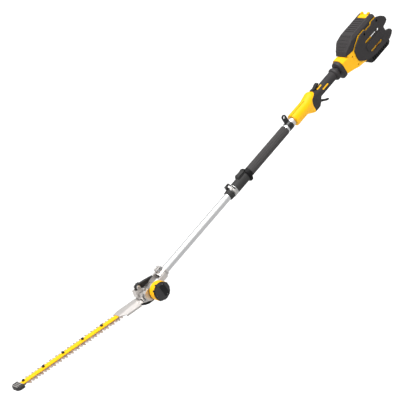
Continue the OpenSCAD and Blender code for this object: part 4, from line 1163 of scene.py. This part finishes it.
@dataclass
class PowerEnd:
    """Neck, yellow chassis, slotted guards and rest foot, on the pole's axis."""

    neck_front: float = 319.0
    neck_z: float = -6.0
    flange_length: float = 27.0
    stub_r: float = 19.0
    collar_front: float = 350.0
    collar_reach: float = 12.5
    collar_sag: float = 5.5
    front: float = 370.0
    rear: float = 632.0
    half: float = 44.0
    guard_thick: float = 6.0
    foot_half: float = 30.0
    foot_drop: float = -102.0
    screw_places: tuple[Spot, ...] = ((428, 8), (436, -40))
    chassis_side: tuple[Spot, ...] = (
        (370, 33), (397, 30.5), (400, 26), (443, 28), (503, 61), (545, 61), (549, 52.5), (588, 52.5),
        (592, 61), (632, 61), (632, -68), (490, -68), (370, -36))
    guard_side: tuple[Spot, ...] = (
        (441, -8), (446, 24), (464, 38), (502, 54.5), (512, 58.5), (545, 58.5), (549, 50), (590, 50),
        (600, 59), (636, 57), (656, 45), (671, 31), (675, 22), (675, 8), (664, 1), (641, -5), (641, -28),
        (650, -28), (661, -33), (669, -40), (671, -52), (660, -62), (641, -71), (536, -69), (503, -63),
        (483, -57), (460, -43), (444, -28))
    hole_xs: Spot = (533.0, 624.0)
    hole_half: float = 5.5
    fin_slots: int = 9
    fin_pitch: float = 12.5

    def build(self) -> None:
        """Build the pieces of the power end."""
        self.neck()
        self.chassis()
        self.guards()
        self.foot()

    @staticmethod
    def plan(front_half: float, half: float) -> Outline:
        """Width of the power end seen from above."""
        right = [(364, front_half), (408, front_half + 2), (446, half), (800, half)]
        return right + [(x, -y) for x, y in reversed(right)]

    def neck(self) -> None:
        """Round flange behind the grip and the deep collar of the power end."""
        x, end = self.neck_front, self.neck_front + self.flange_length
        profile = softened([(x, 0), (x, 24), (x + 3, 27.5), (x + 7, 29.7), (x + 14, 29.7), (x + 18, 27.5),
                            (x + 21, 23), (x + 22, self.stub_r), (end, self.stub_r), (end, 0)], 1.5)
        Form(POLE).spun(profile, Axis.X, (0, self.neck_z)).piece("neck_flange", Body.POLE, dark_moulding)
        start, deep = self.collar_front, self.collar_reach
        rows = [(start, 0, 26), (start + 2, 2, 27.5), (start + 5, deep, 29.4), (start + 6.5, deep, 30),
                (self.front, deep, 30)]
        loops = []
        for along, reach, radius in rows:
            middle = self.neck_z - self.collar_sag * reach / deep
            outline = [(v, u) for u, v in stadium((middle, 0), reach, radius, 24)]
            loops.append([(along, y, z) for y, z in outline])
        collar = Form(POLE).loft(loops)
        collar.plus(Form(POLE).rod(end, start + 4, self.stub_r, Axis.X, (0, self.neck_z)))
        collar.piece("neck_collar", Body.POLE, dark_moulding)

    def chassis(self) -> None:
        """Yellow body with the battery well, the gap under the rear and its screw holes."""
        half = self.half
        section = [(-half, 70), (-half, -46), (16 - half, -70), (half - 16, -70), (half, -46), (half, 70)]
        body = Form(POLE).prism(list(self.chassis_side), Axis.Y, -half, half)
        body.within(Form(POLE).prism(self.plan(31, half), Axis.Z, -100, 120))
        body.within(Form(POLE).prism(section, Axis.X, 300, 900))
        for side in (-1, 1):
            shoulder = [(side * 17, 33), (side * 17, 50), (side * 40, 50), (side * 40, 10)]
            body.minus(Form(POLE).prism(shoulder, Axis.X, 360, 412))
        body.ease(1.6, 3, limit=20)
        wells = [((449, 5 - half, -20), (627, half - 5, 90)), ((407, -27, -26), (446, 27, 40)),
                 ((456, -34, -60), (552, 34, -24)), ((560, -half - 1, -62), (self.rear + 1, half + 1, 44))]
        for low, high in wells:
            body.minus(Form(POLE).block(low, high))
        body.minus(Form(POLE).rod(360, 400, 12, Axis.X, (0, -3)))
        for place in self.screw_places:
            body.minus(Form(POLE).rod(-half - 1, 14 - half, 3.4, Axis.Y, place))
        body.piece("chassis", Body.POLE, yellow_moulding)

    def guards(self) -> None:
        """Slotted guards, each with a bare raised panel, and a longer lower slot on the far side."""
        out = self.half + self.guard_thick
        lower_slots = {"side_guard_left": ((560, -43), 34, 6), "side_guard_right": ((593, -47), 62, 9)}
        for name, lower_slot in lower_slots.items():
            side = softened(list(self.guard_side), 3.0, 3)
            plate = Form(POLE).prism(side, Axis.Y, -out, -self.half).ease(1.4, 3, limit=SQUARE_EDGE)
            panel = softened([(506, -31), (506, -6), (518, -3), (618, -3), (618, -31)], 3.0)
            plate.plus(Form(POLE).prism(panel, Axis.Y, -out - 2.5, -out + 1).ease(0.9, 3, limit=SQUARE_EDGE))
            cuts = Form(POLE)
            for centre, reach, radius in (((565, 10), 44, 6), lower_slot):
                cuts.prism(stadium(centre, reach, radius), Axis.Y, -out - 5, 1 - self.half)
            for x in self.hole_xs:
                cuts.block((x - self.hole_half, -out - 5, 39.5), (x + self.hole_half, -self.half - 1, 50.5))
            plate.minus(cuts)
            if name.endswith("right"):
                plate.mirrored()
            plate.piece(name, Body.POLE, dark_moulding)

    def foot(self) -> None:
        """Black foot with fins between its slots."""
        half, low = self.foot_half, self.foot_drop
        side = [(490, -68), (632, -68), (648, -78), (646, -92), (634, low), (520, low), (506, -97),
                (488, -74)]
        body = Form(POLE).prism(softened(side, 2.0, 3), Axis.Y, -half, half).ease(1.5, 3, limit=SQUARE_EDGE)
        slots = Form(POLE)
        for i in range(self.fin_slots):
            x = 522 + i * self.fin_pitch
            for near, far in ((-half - 1, -20), (20, half + 1)):
                slots.block((x, near, low + 5), (x + 6, far, -74))
        body.minus(slots).piece("rest_foot", Body.POLE, black_moulding)


@dataclass
class Battery:
    """Battery pack under its grooved hood, and the latch at its rear."""

    half: float = 43.4
    top: float = 80.0
    lift: float = 0.4
    top_grooves: int = 7
    groove_pitch: float = 13.0
    cell_half: float = 28.0
    hood_side: tuple[Spot, ...] = (
        (403, 27.5), (443, 29), (503, 62), (545, 62), (549, 53.5), (588, 53.5), (592, 62), (632, 62),
        (632, 74), (626, 80), (486, 80), (453, 66.5), (416, 43))

    def build(self) -> None:
        """Build the pack's case and its latch."""
        self.case()
        self.latch()

    def case(self) -> None:
        """Case whose hood has grooves across its top and slope."""
        half, top = self.half, self.top
        side = [(x, z + self.lift) for x, z in self.hood_side]
        section = [(-half, 0), (-half, 68), (9 - half, top + 1), (half - 9, top + 1), (half, 68), (half, 0)]
        hood = Form(POLE).prism(side, Axis.Y, -half, half)
        hood.within(Form(POLE).prism(PowerEnd.plan(29, half), Axis.Z, -100, 120))
        hood.within(Form(POLE).prism(section, Axis.X, 300, 900)).ease(2.2, 4, limit=14)
        hood.plus(Form(POLE).block((452, 7 - half, 5), (622, half - 7, 64)))
        grooves = Form(POLE)
        for i in range(self.top_grooves):
            x = 505 + i * self.groove_pitch
            grooves.prism(softened(rectangle((x, -30), (x + 4, 30)), 1.5), Axis.Z, top - 1.2, top + 9)
        hood.minus(grooves)
        hood.minus(self.slope_grooves())
        hood.minus(Form(POLE).block((594, -26.5, 66), (640, 26.5, 90)))
        hood.minus(Form(POLE).block((458, -self.cell_half, 18), (590, self.cell_half, 63.5)))
        slots = Form(POLE)
        for y in (-15, -5, 5, 15):
            slots.block((480, y - 2, 4), (560, y + 2, 14))
        hood.minus(slots).piece("battery_case", Body.BATTERY, dark_moulding)

    def slope_grooves(self) -> Form:
        """Shallow grooves down the sloping front of the hood."""
        grooves = Form(POLE)
        for start, end, count in (((486, 80), (453, 66.5), 2), ((453, 66.5), (416, 43), 3)):
            first, last = Vector(start), Vector(end)
            run = (last - first).normalized()
            out = Vector((run.y, -run.x))
            for i in range(count):
                middle = first.lerp(last, (i + 0.6) / count) + Vector((0, self.lift))
                corners = [middle + run * along + out * rise for along, rise in rectangle((-2, -1.1), (2, 8))]
                width = 30 if start[0] > 460 else 26 - 3 * i
                grooves.prism([tuple(corner) for corner in corners], Axis.Y, -width, width)
        return grooves

    def latch(self) -> None:
        """Yellow latch with two raised thumb pads."""
        top = self.top
        body = Form(POLE).block((599, -26, 66.5), (631, 26, top)).ease(0.8)
        for low, high in ((-26, -14), (14, 26)):
            body.plus(Form(POLE).block((622, low, top - 1), (634, high, top + 5)).ease(1.0))
        body.minus(Form(POLE).block((624, -14, top - 7), (640, 14, top + 9)))
        body.piece("battery_latch", Body.LATCH, yellow_moulding)


@dataclass
class Studio:
    """The camera of the photograph, one broad soft lamp, a white floor and cards for reflections."""

    aim: Vector = field(default_factory=lambda: Vector((-0.4698, 0.1530, -0.0533)))
    azimuth: float = -25.98
    elevation: float = 30.62
    roll: float = 35.15
    distance: float = 7.259
    lens: float = 155.56
    sensor: float = 36.0
    view_depth: float = 200.0
    floor_z: float = -0.8
    floor_radius: float = 40.0
    floor_grey: float = 0.7
    floor_roughness: float = 0.9
    lamp_strength: float = 4.6
    lamp_spread: float = 60.0
    lamp_from: Point = (0.05, -0.15, 1.0)
    fill: float = 0.3
    card_grey: float = 0.6
    card_reach: float = 3.0
    # Each card's name, and the place across and height of its two long edges, in metres
    cards: tuple[tuple[str, Spot, Spot], ...] = (
        ("near_card", (-0.45, -0.74), (-0.45, 0.1)),
        ("low_card", (-0.45, -0.74), (1.2, -0.74)),
        ("far_card", (2.0, -0.7), (2.0, 1.2)))

    def build(self) -> None:
        """Set up the camera, the light, the floor and the cards."""
        self.camera()
        self.light()
        self.floor()
        for name, first, second in self.cards:
            self.card(name, first, second)

    def camera(self) -> None:
        """Point the camera as the photograph was taken."""
        turn, rise = math.radians(self.azimuth), math.radians(self.elevation)
        back = Vector((math.sin(turn) * math.cos(rise), -math.cos(turn) * math.cos(rise), math.sin(rise)))
        data = bpy.data.cameras.new("photo_camera")
        data.lens = self.lens
        data.sensor_width = self.sensor
        data.clip_end = self.view_depth
        made = placed("photo_camera", data)
        level = (-back).to_track_quat("-Z", "Y").to_matrix().to_4x4()
        tilted = level @ Matrix.Rotation(math.radians(-self.roll), 4, "Z")
        made.matrix_world = Matrix.Translation(self.aim + back * self.distance) @ tilted
        bpy.context.scene.camera = made
        bpy.context.scene.view_settings.view_transform = "Standard"

    def light(self) -> None:
        """Light from above through a wide soft lamp, with an even fill from all round."""
        lamp = bpy.data.lights.new("soft_box", "SUN")
        lamp.energy = self.lamp_strength
        lamp.angle = math.radians(self.lamp_spread)
        made = placed("soft_box", lamp)
        made.rotation_euler = Vector(self.lamp_from).to_track_quat("Z", "Y").to_euler()
        world = bpy.data.worlds.new("white_studio")
        bpy.context.scene.world = world
        world.use_nodes = True
        tree = world.node_tree
        tree.nodes.clear()
        path = add_node(tree, "ShaderNodeLightPath").outputs
        seen = add_node(tree, "ShaderNodeMath", {
            0: path["Is Camera Ray"], 1: path["Is Glossy Ray"]}, operation="MAXIMUM").outputs[0]
        shown = add_node(tree, "ShaderNodeMath", {
            0: seen, 1: path["Is Transmission Ray"]}, operation="MAXIMUM").outputs[0]
        soft = add_node(tree, "ShaderNodeBackground", {"Strength": self.fill})
        white = add_node(tree, "ShaderNodeBackground", {"Strength": 1.0})
        for shade in (soft, white):
            shade.inputs["Color"].default_value = (1.0, 1.0, 1.0, 1.0)
        sky = add_node(tree, "ShaderNodeMixShader", {0: shown, 1: soft.outputs[0], 2: white.outputs[0]})
        add_node(tree, "ShaderNodeOutputWorld", {"Surface": sky.outputs[0]})

    def floor(self) -> None:
        """Lay a wide pale floor under the tool."""
        form = bmesh.new()
        bmesh.ops.create_circle(form, cap_ends=True, radius=self.floor_radius, segments=64)
        bmesh.ops.translate(form, verts=form.verts, vec=(0, 0, self.floor_z))
        data = mesh_of(form, "floor")
        made = placed("floor", data)
        matt = bpy.data.materials.new("floor_matt_white")
        matt.use_nodes = True
        inputs = matt.node_tree.nodes["Principled BSDF"].inputs
        inputs["Base Color"].default_value = (self.floor_grey, self.floor_grey, self.floor_grey, 1.0)
        inputs["Roughness"].default_value = self.floor_roughness
        data.materials.append(matt)

    def card(self, name: str, first: Spot, second: Spot) -> None:
        """Set a grey card along the pole that only shows as a reflection in metal.

        Args:
            name: the card's name.
            first: place across and height of one long edge.
            second: the same of the other long edge.
        """
        form = bmesh.new()
        near, far = -self.card_reach, self.card_reach
        corners = [(near, *first), (far, *first), (far, *second), (near, *second)]
        form.faces.new([form.verts.new(corner) for corner in corners])
        data = mesh_of(form, name)
        made = placed(name, data)
        grey = bpy.data.materials.new(f"{name}_grey")
        grey.use_nodes = True
        grey.node_tree.nodes.clear()
        glow = add_node(grey.node_tree, "ShaderNodeEmission", {"Strength": self.card_grey})
        add_node(grey.node_tree, "ShaderNodeOutputMaterial", {"Surface": glow.outputs[0]})
        data.materials.append(grey)
        made.visible_camera = False
        made.visible_diffuse = False
        made.visible_transmission = False
        made.visible_shadow = False


def dress_nodes() -> None:
    """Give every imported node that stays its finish."""
    for finish, names in NODE_FINISHES:
        for name in names.split():
            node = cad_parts[name]
            node.data.materials.clear()
            node.data.materials.append(finish.material())
            log.info("dressed %s in %s", name, finish.name)


def main() -> None:
    """Build the studio and the pieces in order."""
    logging.basicConfig(level=logging.INFO, format="%(message)s")
    Studio().build()
    dress_nodes()
    for group in (CutterHead(), CutterBar(), Pole(), Handle(), PowerEnd(), Battery()):
        group.build()


if __name__ == "__main__":
    main()
